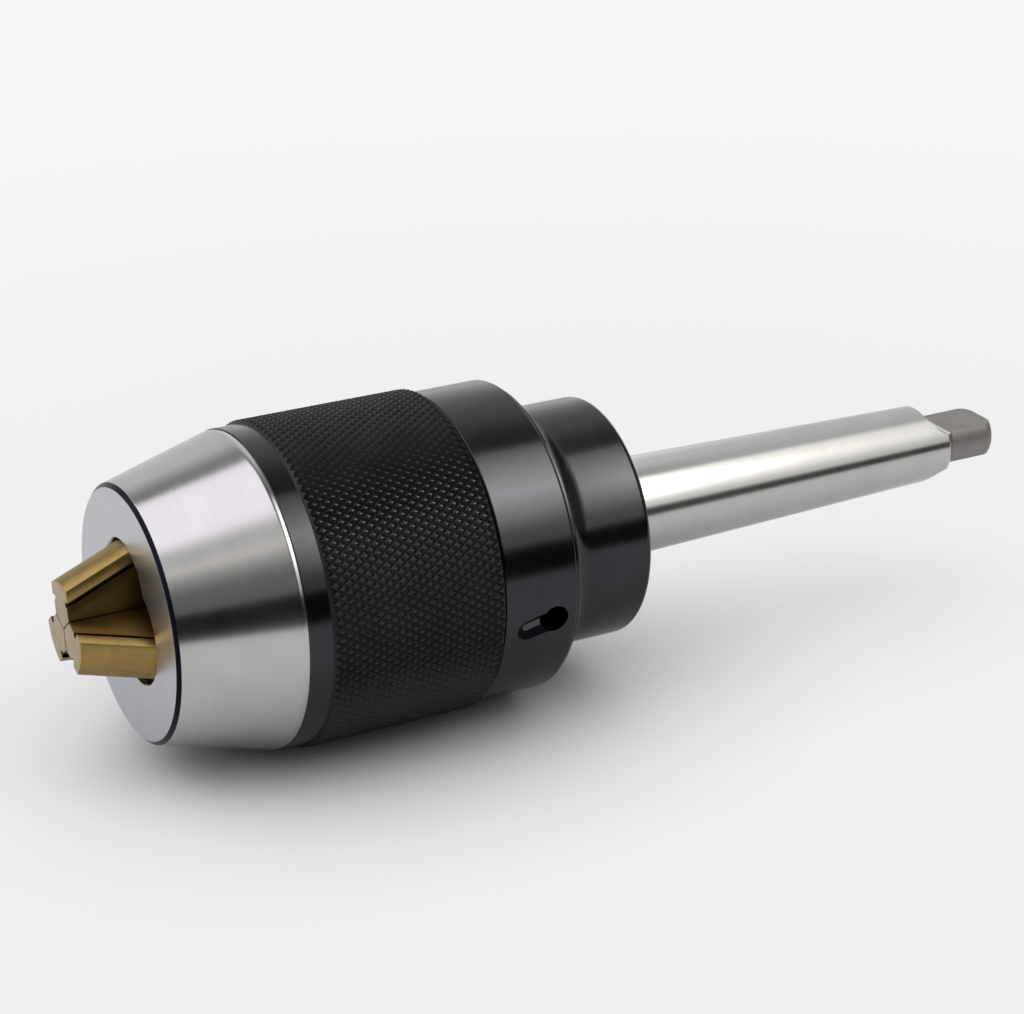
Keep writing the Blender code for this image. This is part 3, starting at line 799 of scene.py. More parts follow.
@dataclass
class RearRing:
    """Smooth black ring with a spanner recess; its marking place is bare."""

    segments: int = 192
    diameter: float = 55.6 * MM
    length: float = 13.85 * MM
    spigot_diameter: float = 50.7 * MM
    spigot_bore: float = 46.4 * MM
    bore_diameter: float = 30.8 * MM
    web: float = 4.3 * MM
    front_rounding: float = 0.3 * MM
    rear_rounding: float = 0.45 * MM
    bore_rounding: float = 0.3 * MM
    hole_diameter: float = 5.0 * MM
    hole_depth: float = 3.8 * MM
    hole_to_rear: float = 4.3 * MM
    hole_angle: float = 99.0
    slot_width: float = 4.2 * MM
    slot_floor: float = 1.3 * MM
    slot_reach: float = 5.2 * MM
    slot_depth: float = 1.1 * MM
    slot_slant: float = 13.0
    hole_segments: int = 40
    arc_steps: int = 16
    recess_angle: float = 15.0
    edge_margin: float = 0.5 * MM
    skin: float = 0.05 * MM
    floor_margin: float = 0.2 * MM
    floor_facing: float = 0.9

    @property
    def turn(self) -> Matrix:
        """Turn round the chuck's axis from straight up to the recess."""
        return Matrix.Rotation(math.radians(self.hole_angle), 4, "X")

    def section(self) -> Section:
        """Half section of the ring and its spigot."""
        own = Span.of("rear_ring")
        front = own.rear - self.length
        outer, spigot = self.diameter / 2, self.spigot_diameter / 2
        inside, bore = self.spigot_bore / 2, self.bore_diameter / 2
        return (
            Section()
            .corner(own.front, inside)
            .corner(own.front, spigot)
            .corner(front, spigot)
            .corner(front, outer, self.front_rounding)
            .corner(own.rear, outer, self.rear_rounding)
            .corner(own.rear, bore, self.bore_rounding)
            .corner(own.rear - self.web, bore)
            .corner(own.rear - self.web, inside))

    def hole(self, station: float) -> bmesh.types.BMesh:
        """Model the recess's round hole.

        Args:
            station: Station of its middle.

        Returns:
            The shape to cut out.
        """
        bm = bmesh.new()
        bmesh.ops.create_cone(
            bm, cap_ends=True, segments=self.hole_segments, radius1=self.hole_diameter / 2,
            radius2=self.hole_diameter / 2, depth=2 * self.hole_depth,
            matrix=self.turn @ Matrix.Translation((station, 0.0, self.diameter / 2)))
        return bm

    def slot(self, station: float) -> bmesh.types.BMesh:
        """Model the recess's shallower slot, with round ends and sloping walls.

        Args:
            station: Station of the hole's middle, from which the slot runs forward.

        Returns:
            The shape to cut out.
        """
        radius, floor = self.slot_floor / 2, self.diameter / 2 - self.slot_depth
        ends = [(-self.slot_reach, math.pi / 2), (0.0, -math.pi / 2)]
        outline = [
            (x, y, floor) for middle, start in ends
            for x, y in arc((middle, 0.0), radius, start, math.pi, self.arc_steps)]
        bm, rim = prism(outline, Vector((0.0, 0.0, self.hole_depth)))
        spread = (self.slot_width / 2 - radius) / self.slot_depth * self.hole_depth
        for vert in rim:
            centre = Vector((-self.slot_reach if vert.co.x < -self.slot_reach / 2 else 0.0, 0.0))
            vert.co.xy += (vert.co.xy - centre).normalized() * spread
        slant = Matrix.Rotation(math.radians(self.slot_slant), 4, "Z")
        place = self.turn @ Matrix.Translation((station, 0.0, 0.0)) @ slant
        bmesh.ops.transform(bm, matrix=place, verts=bm.verts)
        return bm

    def in_recess(self, at: Vector, rear: float) -> bool:
        """Tell whether a face belongs to the recess.

        Args:
            at: The face's centre.
            rear: Station of the ring's rear face.

        Returns:
            True for a face of the recess.
        """
        outer, margin = self.diameter / 2, self.edge_margin
        off_middle = abs(polar(at) - math.radians(self.hole_angle))
        return (
            off_middle < math.radians(self.recess_angle)
            and rear - self.length + margin < at.x < rear - margin
            and outer - self.hole_depth - self.skin < at.yz.length < outer - self.skin)

    def build(self) -> None:
        """Model the ring, cut its recess, and paint shade on the recess's walls and a light streak
        on the slot's floor.
        """
        rear = Span.of("rear_ring").rear
        finishes = (BLACK_OXIDE, RECESS_WALL_PAINTED_SHADE, RECESS_FLOOR_PAINTED_LIGHT)
        piece = add_mesh("ring_rear", self.section().turned(self.segments), *finishes)
        station = rear - self.hole_to_rear
        cut(piece, [self.hole(station), self.slot(station)])
        slot_floor = self.diameter / 2 - self.slot_depth - self.floor_margin
        # Painted shade on the recess's walls; the slot's floor is painted over next.
        paint(piece, RECESS_WALL_PAINTED_SHADE, lambda at, way: self.in_recess(at, rear))
        # Painted light streak on the slot's floor.
        paint(piece, RECESS_FLOOR_PAINTED_LIGHT, lambda at, way: (
            self.in_recess(at, rear) and at.yz.length > slot_floor
            and way.yz.dot(at.yz) > self.floor_facing * at.yz.length))
        deliver(piece, "sleeve", "black_oxide", "rear_ring")


@dataclass
class RearCollar:
    """Black collar on the neck, which flares out towards the ring in front of it."""

    segments: int = 192
    bore_diameter: float = 30.6 * MM
    flare_diameter: float = 54.0 * MM
    lip: float = 0.4 * MM
    gap_to_ring: float = 0.3 * MM
    flare_steps: int = 14
    rear_rounding: float = 1.1 * MM

    def build(self) -> None:
        """Model the collar and its hollow flare."""
        own, front = Span.of("rear_collar"), Span.of("rear_ring").rear + self.gap_to_ring
        bore, flare = self.bore_diameter / 2, self.flare_diameter / 2
        reach, height = own.front - front - self.lip, flare - own.radius
        section = Section().corner(front, bore).corner(front, flare)
        for step in range(self.flare_steps + 1):
            turn = math.pi / 2 * (1.0 - step / self.flare_steps)
            section.corner(
                own.front - reach * math.sin(turn), own.radius + height * (1.0 - math.cos(turn)))
        section.corner(own.rear, own.radius, self.rear_rounding).corner(own.rear, bore)
        piece = add_mesh("collar_rear", section.turned(self.segments), BLACK_OXIDE)
        deliver(piece, "arbor", "black_oxide", "rear_collar")


@dataclass
class Arbor:
    """Ground taper shank with its tang, and the neck in front of it."""

    segments: int = 128
    gauge_diameter: float = 17.78 * MM
    taper: float = 0.04995
    tang_length: float = 10.0 * MM
    tang_thickness: float = 6.3 * MM
    tang_width: float = 11.2 * MM
    run_out: float = 6.0 * MM
    end_rounding: float = 2.0 * MM
    shank_lead: float = 2.0 * MM
    lead_rounding: float = 0.4 * MM
    neck_rounding: float = 0.3 * MM
    core_bore: float = 25.0 * MM
    core_bore_depth: float = 11.3 * MM
    screw_bore: float = 18.6 * MM
    screw_bore_depth: float = 28.61 * MM
    arc_steps: int = 16
    flat_facing: float = 0.99

    def section(self) -> Section:
        """Half section of the arbor, from the tang's end round to the bottom of its bore."""
        own, collar = Span.of("arbor"), Span.of("rear_collar")
        root = own.rear - self.tang_length
        lead = root - self.shank_lead
        core, screw = self.core_bore / 2, self.screw_bore / 2
        step = own.front + self.core_bore_depth
        bottom = own.front + self.screw_bore_depth
        return (
            Section()
            .corner(own.rear, 0.0)
            .corner(own.rear, self.tang_width / 2, self.end_rounding)
            .corner(root, self.tang_width / 2)
            .corner(lead, self.radius_at(lead), self.lead_rounding)
            .corner(collar.rear, self.radius_at(collar.rear))
            .corner(collar.rear, own.radius, self.neck_rounding)
            .corner(own.front, own.radius)
            .corner(own.front, core)
            .corner(step, core)
            .corner(step, screw)
            .corner(bottom, screw)
            .corner(bottom, 0.0))

    def radius_at(self, station: float) -> float:
        """Radius of the taper at a station."""
        return self.gauge_diameter / 2 - station * self.taper / 2

    def flat(self, turn: float) -> bmesh.types.BMesh:
        """Model the waste on one flat of the tang, with its round run-out.

        Args:
            turn: Turn round the axis from the upper flat, in radians.

        Returns:
            The shape to cut out.
        """
        own, width = Span.of("arbor"), self.tang_width
        root, beyond = own.rear - self.tang_length, own.rear + self.tang_length
        low, top = self.tang_thickness / 2, self.tang_thickness / 2 + self.run_out
        side = arc((root, top), self.run_out, math.pi, math.pi / 2, self.arc_steps)
        side += [(beyond, low), (beyond, top)]
        bm, _ = prism([(x, -width, z) for x, z in side], Vector((0.0, 2 * width, 0.0)))
        bmesh.ops.transform(bm, matrix=Matrix.Rotation(turn, 4, "X"), verts=bm.verts)
        return bm

    def build(self) -> None:
        """Model the arbor and dress its shank, tang and neck."""
        own, collar = Span.of("arbor"), Span.of("rear_collar")
        bm = self.section().turned(self.segments, closed=False)
        piece = add_mesh("shank", bm, GROUND_SHANK, MILLED_TANG, NECK_STEEL)
        cut(piece, [self.flat(0.0), self.flat(math.pi)])
        root = own.rear - self.tang_length
        paint(piece, MILLED_TANG, lambda at, way: at.x > root or (
            at.x > root - self.run_out and abs(way.z) > self.flat_facing))
        paint(piece, NECK_STEEL, lambda at, way: at.x < collar.rear)
        deliver(piece, "arbor", "ground_steel", "arbor")


@dataclass
class RefinedNode:
    """A node whose own shape is kept, with its edges softened."""

    node: str
    name: str
    body: str
    finishes: tuple[Finish, ...]
    edge: float = 0.12 * MM
    weld: float = 0.002 * MM
    flat_angle: float = 1.0
    edge_angle: float = 28.0

    def build(
        self, adjust: Callable[[bmesh.types.BMesh], None] | None = None,
    ) -> bpy.types.Object:
        """Merge a copy of the node's mesh, soften its edges and dress it.

        Args:
            adjust: Change to the merged mesh before its edges are softened.

        Returns:
            The finished piece.
        """
        bm = bmesh.new()
        bm.from_mesh(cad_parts[self.node].data)
        bmesh.ops.remove_doubles(bm, verts=bm.verts, dist=self.weld)
        bmesh.ops.dissolve_limit(
            bm, angle_limit=math.radians(self.flat_angle), verts=bm.verts, edges=bm.edges)
        if adjust is not None:
            adjust(bm)
        edges = [
            edge for edge in bm.edges
            if edge.is_manifold and edge.calc_face_angle() > math.radians(self.edge_angle)]
        bmesh.ops.bevel(
            bm, geom=edges, offset=self.edge, offset_type="OFFSET", segments=2, profile=0.5,
            affect="EDGES", clamp_overlap=True, material=-1)
        for face in bm.faces:
            face.material_index = 0
        piece = add_mesh(self.name, bm, *self.finishes)
        return deliver(piece, self.body, self.finishes[0].slot, self.node)


@dataclass
class Jaws:
    """The three gold coated jaws."""

    groove_floor: float = 4.3 * MM
    groove_top: float = 5.2 * MM
    closing: float = 0.12 * MM
    margin: float = 0.05 * MM
    wedge_facing: float = 0.8
    wedge_tilt: float = 0.05
    tip_facing: float = 0.95

    def close_up(self, bm: bmesh.types.BMesh, outward: Vector) -> None:
        """Bring the wedge faces nearer to those of the neighbouring jaws.

        Args:
            bm: The jaw's merged mesh.
            outward: The jaw's own direction away from the axis.
        """
        bm.normal_update()
        ways: dict[bmesh.types.BMVert, Vector] = {}
        for face in bm.faces:
            way = face.normal
            if way.dot(outward) < -self.wedge_facing and abs(way.x) < self.wedge_tilt:
                for vert in face.verts:
                    known = ways.get(vert)
                    ways[vert] = way.copy() if known is None else (known + way) / (
                        1.0 + known.dot(way))
        for vert, way in ways.items():
            vert.co += way * self.closing

    def build(self) -> None:
        """Refine each jaw, dress its tip apart from its outer face, and paint shade on its flanks
        and in its grooves.
        """
        finishes = (GOLD_COATING, GOLD_FLANK_PAINTED_SHADE, GOLD_GROOVE_PAINTED_SHADE, GOLD_TIP)
        low, high = self.groove_floor - self.margin, self.groove_top + self.margin
        for track in JawWay.all():
            name = f"jaw_{track.number}"
            outward = (track.turn @ Vector((0.0, 0.0, 1.0, 0.0))).to_3d()
            piece = RefinedNode(name, f"gripping_{name}", name, finishes).build(
                lambda bm: self.close_up(bm, outward))
            # Painted shade on the jaw's flanks below its groove.
            paint(piece, GOLD_FLANK_PAINTED_SHADE, lambda at, way: (
                track.height(at) < self.groove_floor + self.margin))
            # Painted shade inside the jaw's groove.
            paint(piece, GOLD_GROOVE_PAINTED_SHADE, lambda at, way: low < track.height(at) < high)
            paint(piece, GOLD_TIP, lambda at, way: way.x < -self.tip_facing)


@dataclass
class Thread:
    """Left-hand trapezoidal thread that the screw and the core share."""

    lead: float = 4.0 * MM
    crest_share: float = 0.16
    flank_share: float = 0.18
    steps_per_lead: int = 16
    segments: int = 64

    def height(self, x: float, angle: float, shift: float) -> float:
        """Work out how high the thread stands at a place.

        Args:
            x: Station along the axis.
            angle: Polar angle in radians.
            shift: Extra width of the ridge on each side, in metres.

        Returns:
            Share of the full height, from 0 at the root to 1 at the crest.
        """
        phase = (x / self.lead + angle / (2 * math.pi)) % 1.0
        from_crest = abs(phase - 0.5) * self.lead
        crest, flank = self.crest_share * self.lead + shift, self.flank_share * self.lead
        return min(1.0, max(0.0, (crest + flank - from_crest) / flank))

    def stations(self, start: float, end: float) -> list[float]:
        """Divide a length closely enough for the thread's flanks.

        Args:
            start: Station of its first end.
            end: Station of its other end.

        Returns:
            The stations, both ends included.
        """
        count = round((end - start) / self.lead * self.steps_per_lead)
        return [start + (end - start) * step / count for step in range(count + 1)]


@dataclass
class FeedScrew:
    """Screw that moves the jaw guide."""

    thread: Thread = field(default_factory=Thread)
    spigot_diameter: float = 13.0 * MM
    spigot_length: float = 4.6 * MM
    root_diameter: float = 13.6 * MM
    seat: float = 0.3 * MM
    plain_length: float = 1.0 * MM
    end_chamfer: float = 0.3 * MM

    def build(self) -> None:
        """Model the screw with its thread."""
        own = Span.of("feed_screw")
        shoulder = own.front + self.spigot_length + self.seat
        start, end = shoulder + self.plain_length, own.rear - self.end_chamfer
        section = (
            Section()
            .corner(own.front, 0.0)
            .corner(own.front, self.spigot_diameter / 2)
            .corner(shoulder, self.spigot_diameter / 2)
            .corner(shoulder, own.radius))
        for station in self.thread.stations(start, end):
            section.corner(station, own.radius)
        section.corner(own.rear, self.root_diameter / 2).corner(own.rear, 0.0)
        bm = section.turned(self.thread.segments, closed=False)
        depth = own.radius - self.root_diameter / 2
        for vert in bm.verts:
            on_thread = start - MERGE_DISTANCE < vert.co.x < end + MERGE_DISTANCE
            if on_thread and vert.co.yz.length > depth:
                height = self.thread.height(vert.co.x, polar(vert.co), 0.0)
                vert.co.yz *= (own.radius - depth * (1.0 - height)) / own.radius
        deliver(add_mesh("screw", bm, BEARING_STEEL), "jaw_guide", "bearing_steel", "feed_screw")


@dataclass
class ThreadCore:
    """Flanged nut that the feed screw runs in."""

    thread: Thread = field(default_factory=Thread)
    flange_length: float = 4.8 * MM
    spigot_diameter: float = 24.4 * MM
    bore_diameter: float = 18.6 * MM
    ridge_height: float = 1.9 * MM
    flank_clearance: float = 0.2 * MM
    lead_in: float = 2.4 * MM
    end_rounding: float = 0.3 * MM
    flange_rounding: float = 0.2 * MM
    bore_tolerance: float = 0.01 * MM

    def build(self) -> None:
        """Model the core with the thread in its bore."""
        own = Span.of("thread_core")
        bore, spigot = self.bore_diameter / 2, self.spigot_diameter / 2
        flange_rear = own.front + self.flange_length
        section = (
            Section()
            .corner(own.front, own.radius, self.end_rounding)
            .corner(flange_rear, own.radius, self.flange_rounding)
            .corner(flange_rear, spigot)
            .corner(own.rear, spigot, self.end_rounding)
            .corner(own.rear, bore))
        for station in reversed(self.thread.stations(own.front, own.rear)[1:-1]):
            section.corner(station, bore)
        section.corner(own.front, bore)
        bm = section.turned(self.thread.segments)
        for vert in bm.verts:
            at_bore = abs(vert.co.yz.length - bore) < self.bore_tolerance
            if at_bore and own.front + self.lead_in < vert.co.x < own.rear - MERGE_DISTANCE:
                groove = self.thread.height(vert.co.x, polar(vert.co), self.flank_clearance)
                vert.co.yz *= (bore - self.ridge_height * (1.0 - groove)) / bore
        deliver(add_mesh("core", bm, DARK_STEEL), "arbor", "dark_steel", "thread_core")


@dataclass
class Bearing:
    """Ball thrust bearing: two race washers, a cage and its balls."""

    ball_count: int = 16
    race_width: float = 6.6 * MM
    race_rounding: float = 0.2 * MM
    circle_diameter: float = 38.0 * MM
    groove_depth: float = 0.5 * MM
    groove_radius: float = 2.8 * MM
    groove_steps: int = 10
    segments: int = 128
    ball_segments: int = 28
    ball_rings: int = 18
    cage_edge: float = 0.1 * MM

    def race(self, node: str, name: str, body: str, towards_tang: bool) -> None:
        """Model one race washer with its ball groove.

        Args:
            node: The washer's node.
            name: The piece's name.
            body: The body it rides on.
            towards_tang: Whether the groove faces the tang.
        """
        own = Span.of(node)
        inner = self.circle_diameter / 2 - self.race_width / 2
        outer = self.circle_diameter / 2 + self.race_width / 2
        flat, grooved = (own.front, own.rear) if towards_tang else (own.rear, own.front)
        way = 1.0 if towards_tang else -1.0
        offset = self.groove_radius - self.groove_depth
        spread = math.acos(offset / self.groove_radius)
        section = (
            Section()
            .corner(flat, outer, self.race_rounding)
            .corner(flat, inner, self.race_rounding)
            .corner(grooved, inner))
        for step in range(self.groove_steps + 1):
            angle = spread * (2 * step / self.groove_steps - 1)
            section.corner(
                grooved + way * (offset - self.groove_radius * math.cos(angle)),
                self.circle_diameter / 2 + self.groove_radius * math.sin(angle))
        section.corner(grooved, outer)
        piece = add_mesh(name, section.turned(self.segments), BEARING_STEEL)
        deliver(piece, body, "bearing_steel", node)

    def balls(self) -> None:
        """Model each ball where its node is."""
        for number in range(1, self.ball_count + 1):
            node = f"ball_{number:02d}"
            low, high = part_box(node)
            bm = bmesh.new()
            bmesh.ops.create_uvsphere(
                bm, u_segments=self.ball_segments, v_segments=self.ball_rings,
                radius=(high.x - low.x) / 2, matrix=Matrix.Translation((low + high) / 2))
            piece = add_mesh(f"bearing_{node}", bm, BEARING_STEEL)
            deliver(piece, "ball_cage", "bearing_steel", node)

    def build(self) -> None:
        """Model the whole bearing."""
        self.race("inner_race", "race_inner", "arbor", True)
        self.race("outer_race", "race_outer", "sleeve", False)
        self.balls()
        RefinedNode("ball_cage", "cage", "ball_cage", (CAGE_BRASS,), edge=self.cage_edge).build()


@dataclass
class DustSeal:
    """Rubber ring between the rear ring and the neck."""

    segments: int = 128
    inner_diameter: float = 30.6 * MM
    inner_rounding: float = 0.3 * MM
    outer_rounding: float = 0.2 * MM

    def build(self) -> None:
        """Model the seal."""
        own = Span.of("dust_seal")
        inner = self.inner_diameter / 2
        section = (
            Section()
            .corner(own.front, inner, self.inner_rounding)
            .corner(own.front, own.radius, self.outer_rounding)
            .corner(own.rear, own.radius, self.outer_rounding)
            .corner(own.rear, inner, self.inner_rounding))
        piece = add_mesh("seal", section.turned(self.segments), SEAL_RUBBER)
        deliver(piece, "sleeve", "seal_rubber", "dust_seal")


@dataclass
class TentParts:
    """A direction seen from the chuck, and how far it lies in each part of the tent.

    The polar angle round the chuck's axis is in degrees, and the side is the direction's share
    along +X. The other parts are masks, from 0 outside to 1 inside.
    """

    side: Wire
    around: Wire
    top_edge: Wire
    lit: Wire
    above: Wire
    off_box: Wire
    on_strip: Wire
    far: Wire
    behind: Wire
    high_back: Wire


@dataclass
class StudioTent:
    """Soft box and pale walls round the chuck, by direction seen from it.

    A box hangs askew overhead on the left, and an upright strip stands in front on the right. A
    pair of numbers says where a soft step leaves 0 and where it reaches 1.
    """

    wall: float = 0.66
    bright_wall: float = 1.0
    bright_drop: float = 0.55
    dim_wall: float = 0.22
    back_wall: float = 0.3
    left_box: float = 1.36
    strip_foot: float = 1.15
    strip_gain: float = 5.8
    strip_ends: tuple[float, float] = (-1.0, 65.0)
    strip_slopes: tuple[float, float] = (37.0, 29.0)
    far_box: float = 1.14
    far_drop: float = 0.25
    front_wall: float = 0.62
    front_drop: float = 0.46
    front_gap: float = 0.7
    glow: float = 0.16
    darkness: float = 0.96
    unlit_back: float = 0.78
    camera_level: float = 0.92
    edge_slope: float = 81.0
    edge_start: float = 31.0
    edge_limit: float = 2.0
    edge_softness: float = 1.8
    dark_slope: float = 18.0
    dark_start: float = 67.9
    dark_side: float = 0.3
    dark_softness: float = 1.5
    off_box: Step = (0.10, 0.18)
    on_strip: Step = (0.28, 0.44)
    bright_side: Step = (0.30, 0.36)
    far: Step = (0.47, 0.54)
    behind: Step = (0.60, 0.70)
    above: Step = (0.0, 4.0)
    low_back: Step = (-55.0, -35.0)
    bright_fall: Step = (-80.0, -50.0)
    under_edge: Step = (38.0, 8.0)
    box_fall: Step = (12.0, 28.0)
    far_fall: Step = (50.0, 70.0)
    front_rise: Step = (14.0, 30.0)
    front_fall: Step = (34.0, 60.0)
    glow_rise: Step = (31.0, 38.0)
    glow_fall: Step = (39.0, 46.0)
    cool_tint: Colour = (1.0, 0.97, 1.04)
    warm_tint: Colour = (1.0, 0.985, 0.95)
    wall_tint: Colour = (1.0, 1.0, 1.015)
    glow_tint: Colour = (1.1, 1.0, 0.8)

    def parts(self, tree: ShaderTree) -> TentParts:
        """Lay the tent's parts over the directions.

        Args:
            tree: The world's tree.

        Returns:
            The direction and the parts.
        """
        side, y, z = tree.parts(tree.node("ShaderNodeTexCoord", {}, [], output="Generated"))
        around = (-y).angle_from(z)
        top_edge = (side * self.edge_slope - self.edge_start).least(self.edge_limit)
        return TentParts(
            side=side, around=around, top_edge=top_edge,
            lit=around.rise(top_edge - self.edge_softness, top_edge + self.edge_softness),
            above=around.rise(*self.above), off_box=side.rise(*self.off_box),
            on_strip=side.rise(*self.on_strip), far=side.rise(*self.far),
            behind=side.rise(*self.behind), high_back=1.0 - around.rise(*self.low_back))

    def back(self, at: TentParts) -> Wire:
        """Light the wall behind the chuck, up to the box's edge.

        Args:
            at: The direction.

        Returns:
            The wall's light.
        """
        fall = 1.0 - self.bright_drop * at.around.rise(*self.bright_fall)
        gain = at.side.rise(*self.bright_side) * (1.0 - at.far) * fall
        level = self.wall + (self.bright_wall - self.wall) * gain
        low, high = self.under_edge
        dip = at.around.rise(at.top_edge - low, at.top_edge - high) * (1.0 - at.far)
        wall = (level - (level - self.dim_wall) * dip) * (1.0 - at.lit)
        return wall + self.back_wall * at.behind * at.high_back

    def lamps(self, at: TentParts) -> tuple[Wire, Wire]:
        """Light the lamps.

        Args:
            at: The direction.

        Returns:
            The cool light of the left box, and the warm light of the strip and the far box.
        """
        start, end = self.strip_ends
        rising, falling = self.strip_slopes
        box = self.left_box * at.lit * (1.0 - at.around.rise(*self.box_fall)) * (1.0 - at.off_box)
        low, high = (at.around - start) / rising, (end - at.around) / falling
        peak = low.least(high).least(1.0).most(0.0)
        strip = self.strip_foot + self.strip_gain * peak
        strip = strip * at.above * at.on_strip * (1.0 - at.far)
        fall = 1.0 - self.far_drop * at.around.rise(*self.far_fall)
        return box, strip + self.far_box * fall * at.above * at.far

    def front(self, at: TentParts) -> tuple[Wire, Wire]:
        """Light the wall in front of the chuck, below the box.

        Args:
            at: The direction.

        Returns:
            The wall's light, and the light of its warm glow.
        """
        beside = (1.0 - at.on_strip) * (1.0 - self.front_gap * at.off_box)
        below = at.around.rise(*self.front_rise) * at.lit * beside
        wall = (self.front_wall - self.front_drop * at.around.rise(*self.front_fall)) * below
        glow = self.glow * at.around.rise(*self.glow_rise)
        return wall, glow * (1.0 - at.around.rise(*self.glow_fall)) * below

    def kept(self, at: TentParts) -> Wire:
        """Darken the tent low down in front and low down behind.

        Args:
            at: The direction.

        Returns:
            The share of the light that is kept.
        """
        edge = at.side.most(self.dark_side) * self.dark_slope + self.dark_start
        dark = at.around.rise(edge - self.dark_softness, edge + self.dark_softness)
        unlit = self.unlit_back * at.behind * (1.0 - at.high_back)
        return (1.0 - self.darkness * dark) * (1.0 - unlit)

    def build(self) -> None:
        """Make the world."""
        world = bpy.data.worlds.new("studio")
        bpy.context.scene.world = world
        world.use_nodes = True
        tree = ShaderTree(world.node_tree)
        at = self.parts(tree)
        kept = self.kept(at)
        cool, warm = self.lamps(at)
        wall, glow = self.front(at)
        lights = [
            (cool * kept, self.cool_tint), (warm * kept, self.warm_tint),
            ((self.back(at) + wall) * kept, self.wall_tint), (glow, self.glow_tint)]
        total = tree.vector(*(
            sum(light * tint[channel] for light, tint in lights) for channel in range(3)))
        lit = tree.node("ShaderNodeBackground", {}, {"Color": total, "Strength": 1.0})
        pale = rgba((self.camera_level,) * 3)
        seen = tree.node("ShaderNodeBackground", {}, {"Color": pale, "Strength": 1.0})
        camera = tree.node("ShaderNodeLightPath", {}, [], output="Is Camera Ray")
        mixed = tree.node("ShaderNodeMixShader", {}, [camera, lit, seen])
        tree.node("ShaderNodeOutputWorld", {}, [mixed])


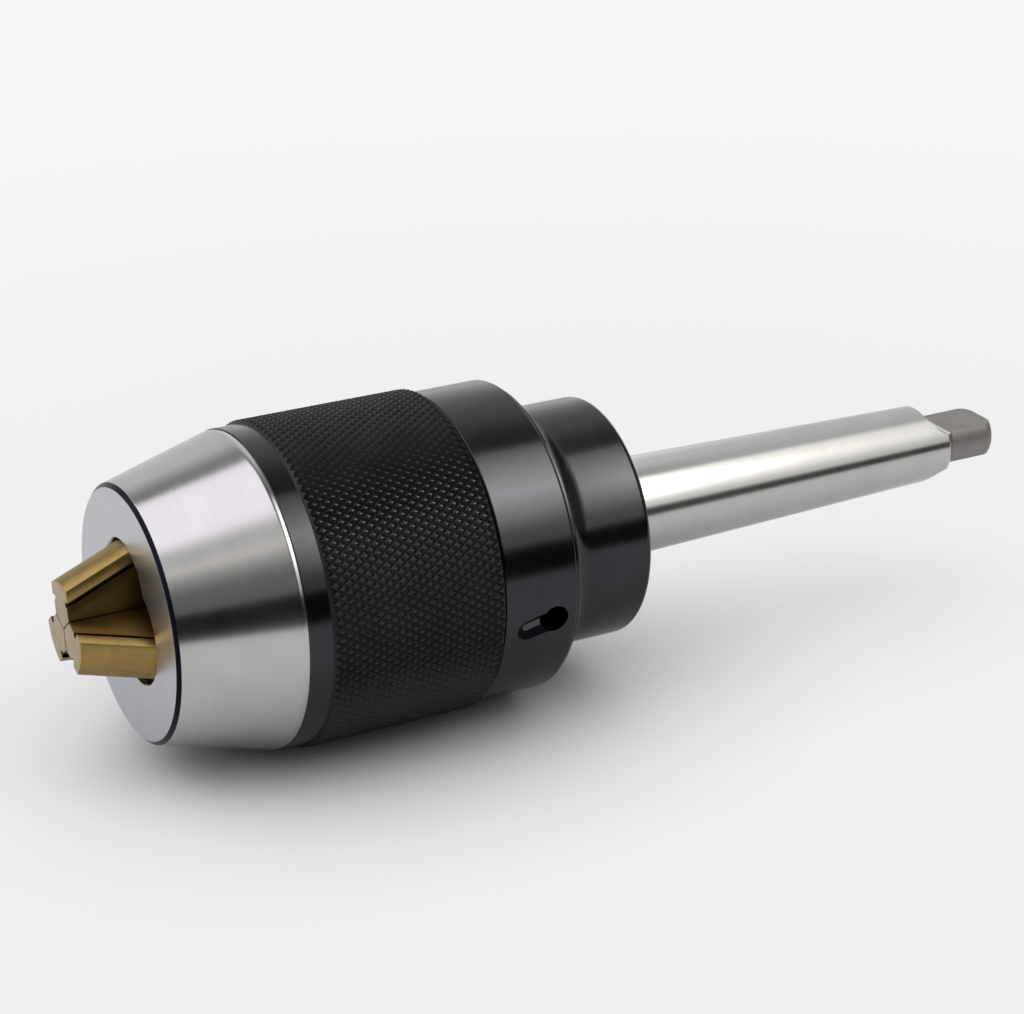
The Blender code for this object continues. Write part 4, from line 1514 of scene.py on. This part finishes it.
@dataclass
class Floor:
    """Pale table that the chuck lies on, which ends in front of it."""

    half_size: float = 4.0
    front_edge: float = 0.27
    edge_slant: float = 0.2
    edge_softness: float = 0.01
    near_level: float = 0.87
    far_level: float = 0.92
    open_ground: Step = (0.12, 0.40)
    mirrored_relief: float = 0.4
    albedo: Colour = (0.95, 0.945, 0.95)
    mirrored_albedo: Colour = (0.80, 0.80, 0.805)
    painted_shade_albedo: Colour = (0.02, 0.02, 0.02)
    shade_reach: float = 48.0 * MM
    shade_samples: int = 8
    dark_room: Colour = (0.03, 0.03, 0.03)

    def build(self) -> None:
        """Model the table."""
        bm = bmesh.new()
        height = -Span.of("knurled_sleeve").radius
        bmesh.ops.create_grid(
            bm, x_segments=1, y_segments=1, size=self.half_size,
            matrix=Matrix.Translation((0.0, 0.0, height)))
        mesh = bpy.data.meshes.new("table")
        bm.to_mesh(mesh)
        bm.free()
        mesh.materials.append(self.material())
        table = bpy.data.objects.new("table", mesh)
        bpy.context.scene.collection.objects.link(table)

    def material(self) -> bpy.types.Material:
        """Make the pale table's material, which keeps the chuck's shadow and darkens the table near
        the chuck with painted shade from ambient occlusion.

        Returns:
            The material.
        """
        made = bpy.data.materials.new("pale_table")
        made.use_nodes = True
        tree = ShaderTree(made.node_tree)
        x, y, _ = tree.parts(tree.node("ShaderNodeTexCoord", {}, [], output="Object"))
        away = (x * x + y * y).root().rise(*self.open_ground)
        seen, mirrored, shade = (
            tree.node("ShaderNodeBsdfDiffuse", {}, {"Color": rgba(colour)})
            for colour in (self.albedo, self.mirrored_albedo, self.painted_shade_albedo))
        level = tree.blend(away, rgba((self.near_level,) * 3), rgba((self.far_level,) * 3))
        pale = tree.node("ShaderNodeEmission", {}, {"Color": level})
        dark = tree.node("ShaderNodeEmission", {}, {"Color": rgba(self.dark_room)})
        camera, glossy = (
            tree.node("ShaderNodeLightPath", {}, [], output=kind)
            for kind in ("Is Camera Ray", "Is Glossy Ray"))
        paper = tree.node("ShaderNodeMixShader", {}, [glossy, seen, mirrored])
        # Painted shade: ambient occlusion blends a near-black diffuse into the table near the
        # chuck, a little less in reflections, and keeps the pale glow off there for camera rays.
        clear = tree.node(
            "ShaderNodeAmbientOcclusion", {"samples": self.shade_samples},
            {"Distance": self.shade_reach}, output="AO")
        relief = (1.0 - clear.root()) * glossy * self.mirrored_relief
        shaded = tree.node("ShaderNodeMixShader", {}, [clear.root() + relief, shade, paper])
        open_floor = away.most(clear * clear)
        faded = tree.node("ShaderNodeMixShader", {}, [open_floor * camera, shaded, pale])
        beyond = (x * self.edge_slant - y).rise(
            self.front_edge - self.edge_softness, self.front_edge + self.edge_softness)
        ended = tree.node("ShaderNodeMixShader", {}, [glossy * beyond, faded, dark])
        tree.node("ShaderNodeOutputMaterial", {}, [ended])
        return made


@dataclass
class PhotoCamera:
    """Camera at the photograph's viewing angle."""

    azimuth: float = -28.077
    elevation: float = 24.107
    roll: float = -0.110
    distance: float = 494.43 * MM
    target: tuple[float, float, float] = (-27.918 * MM, 0.0, -2.498 * MM)
    focal_pixels: float = 2760.84
    image_width: float = 1024.0
    axis_below_centre: float = 37.0
    sensor_width: float = 36.0
    nearest: float = 10.0 * MM

    def build(self) -> None:
        """Place the camera and make it the scene's own."""
        azimuth, elevation = math.radians(self.azimuth), math.radians(self.elevation)
        back = Vector((
            math.sin(azimuth) * math.cos(elevation), -math.cos(azimuth) * math.cos(elevation),
            math.sin(elevation)))
        right = (-back).cross(Vector((0.0, 0.0, 1.0))).normalized()
        up = back.cross(right)
        turn = Matrix((right, up, back)).transposed().to_4x4()
        place = Matrix.Translation(Vector(self.target) + back * self.distance)
        data = bpy.data.cameras.new("photo_camera")
        data.sensor_fit = "HORIZONTAL"
        data.sensor_width = self.sensor_width
        data.lens = self.sensor_width * self.focal_pixels / self.image_width
        data.shift_y = self.axis_below_centre / self.image_width
        data.clip_start = self.nearest
        camera = bpy.data.objects.new("photo_camera", data)
        bpy.context.scene.collection.objects.link(camera)
        camera.matrix_world = place @ turn @ Matrix.Rotation(math.radians(self.roll), 4, "Z")
        bpy.context.scene.camera = camera


def main() -> None:
    """Build the chuck, its light, its table and its camera."""
    logging.basicConfig(level=logging.INFO, format="%(name)s: %(message)s")
    bpy.context.scene.view_settings.view_transform = "Standard"
    RefinedNode("jaw_guide", "guide", "jaw_guide", (DARK_STEEL,)).build()
    parts = [
        NoseHood(), Jaws(), KnurledSleeve(), RearRing(), RearCollar(), Arbor(), FeedScrew(),
        ThreadCore(), Bearing(), DustSeal(), StudioTent(), Floor(), PhotoCamera()]
    for part in parts:
        part.build()


if __name__ == "__main__":
    main()
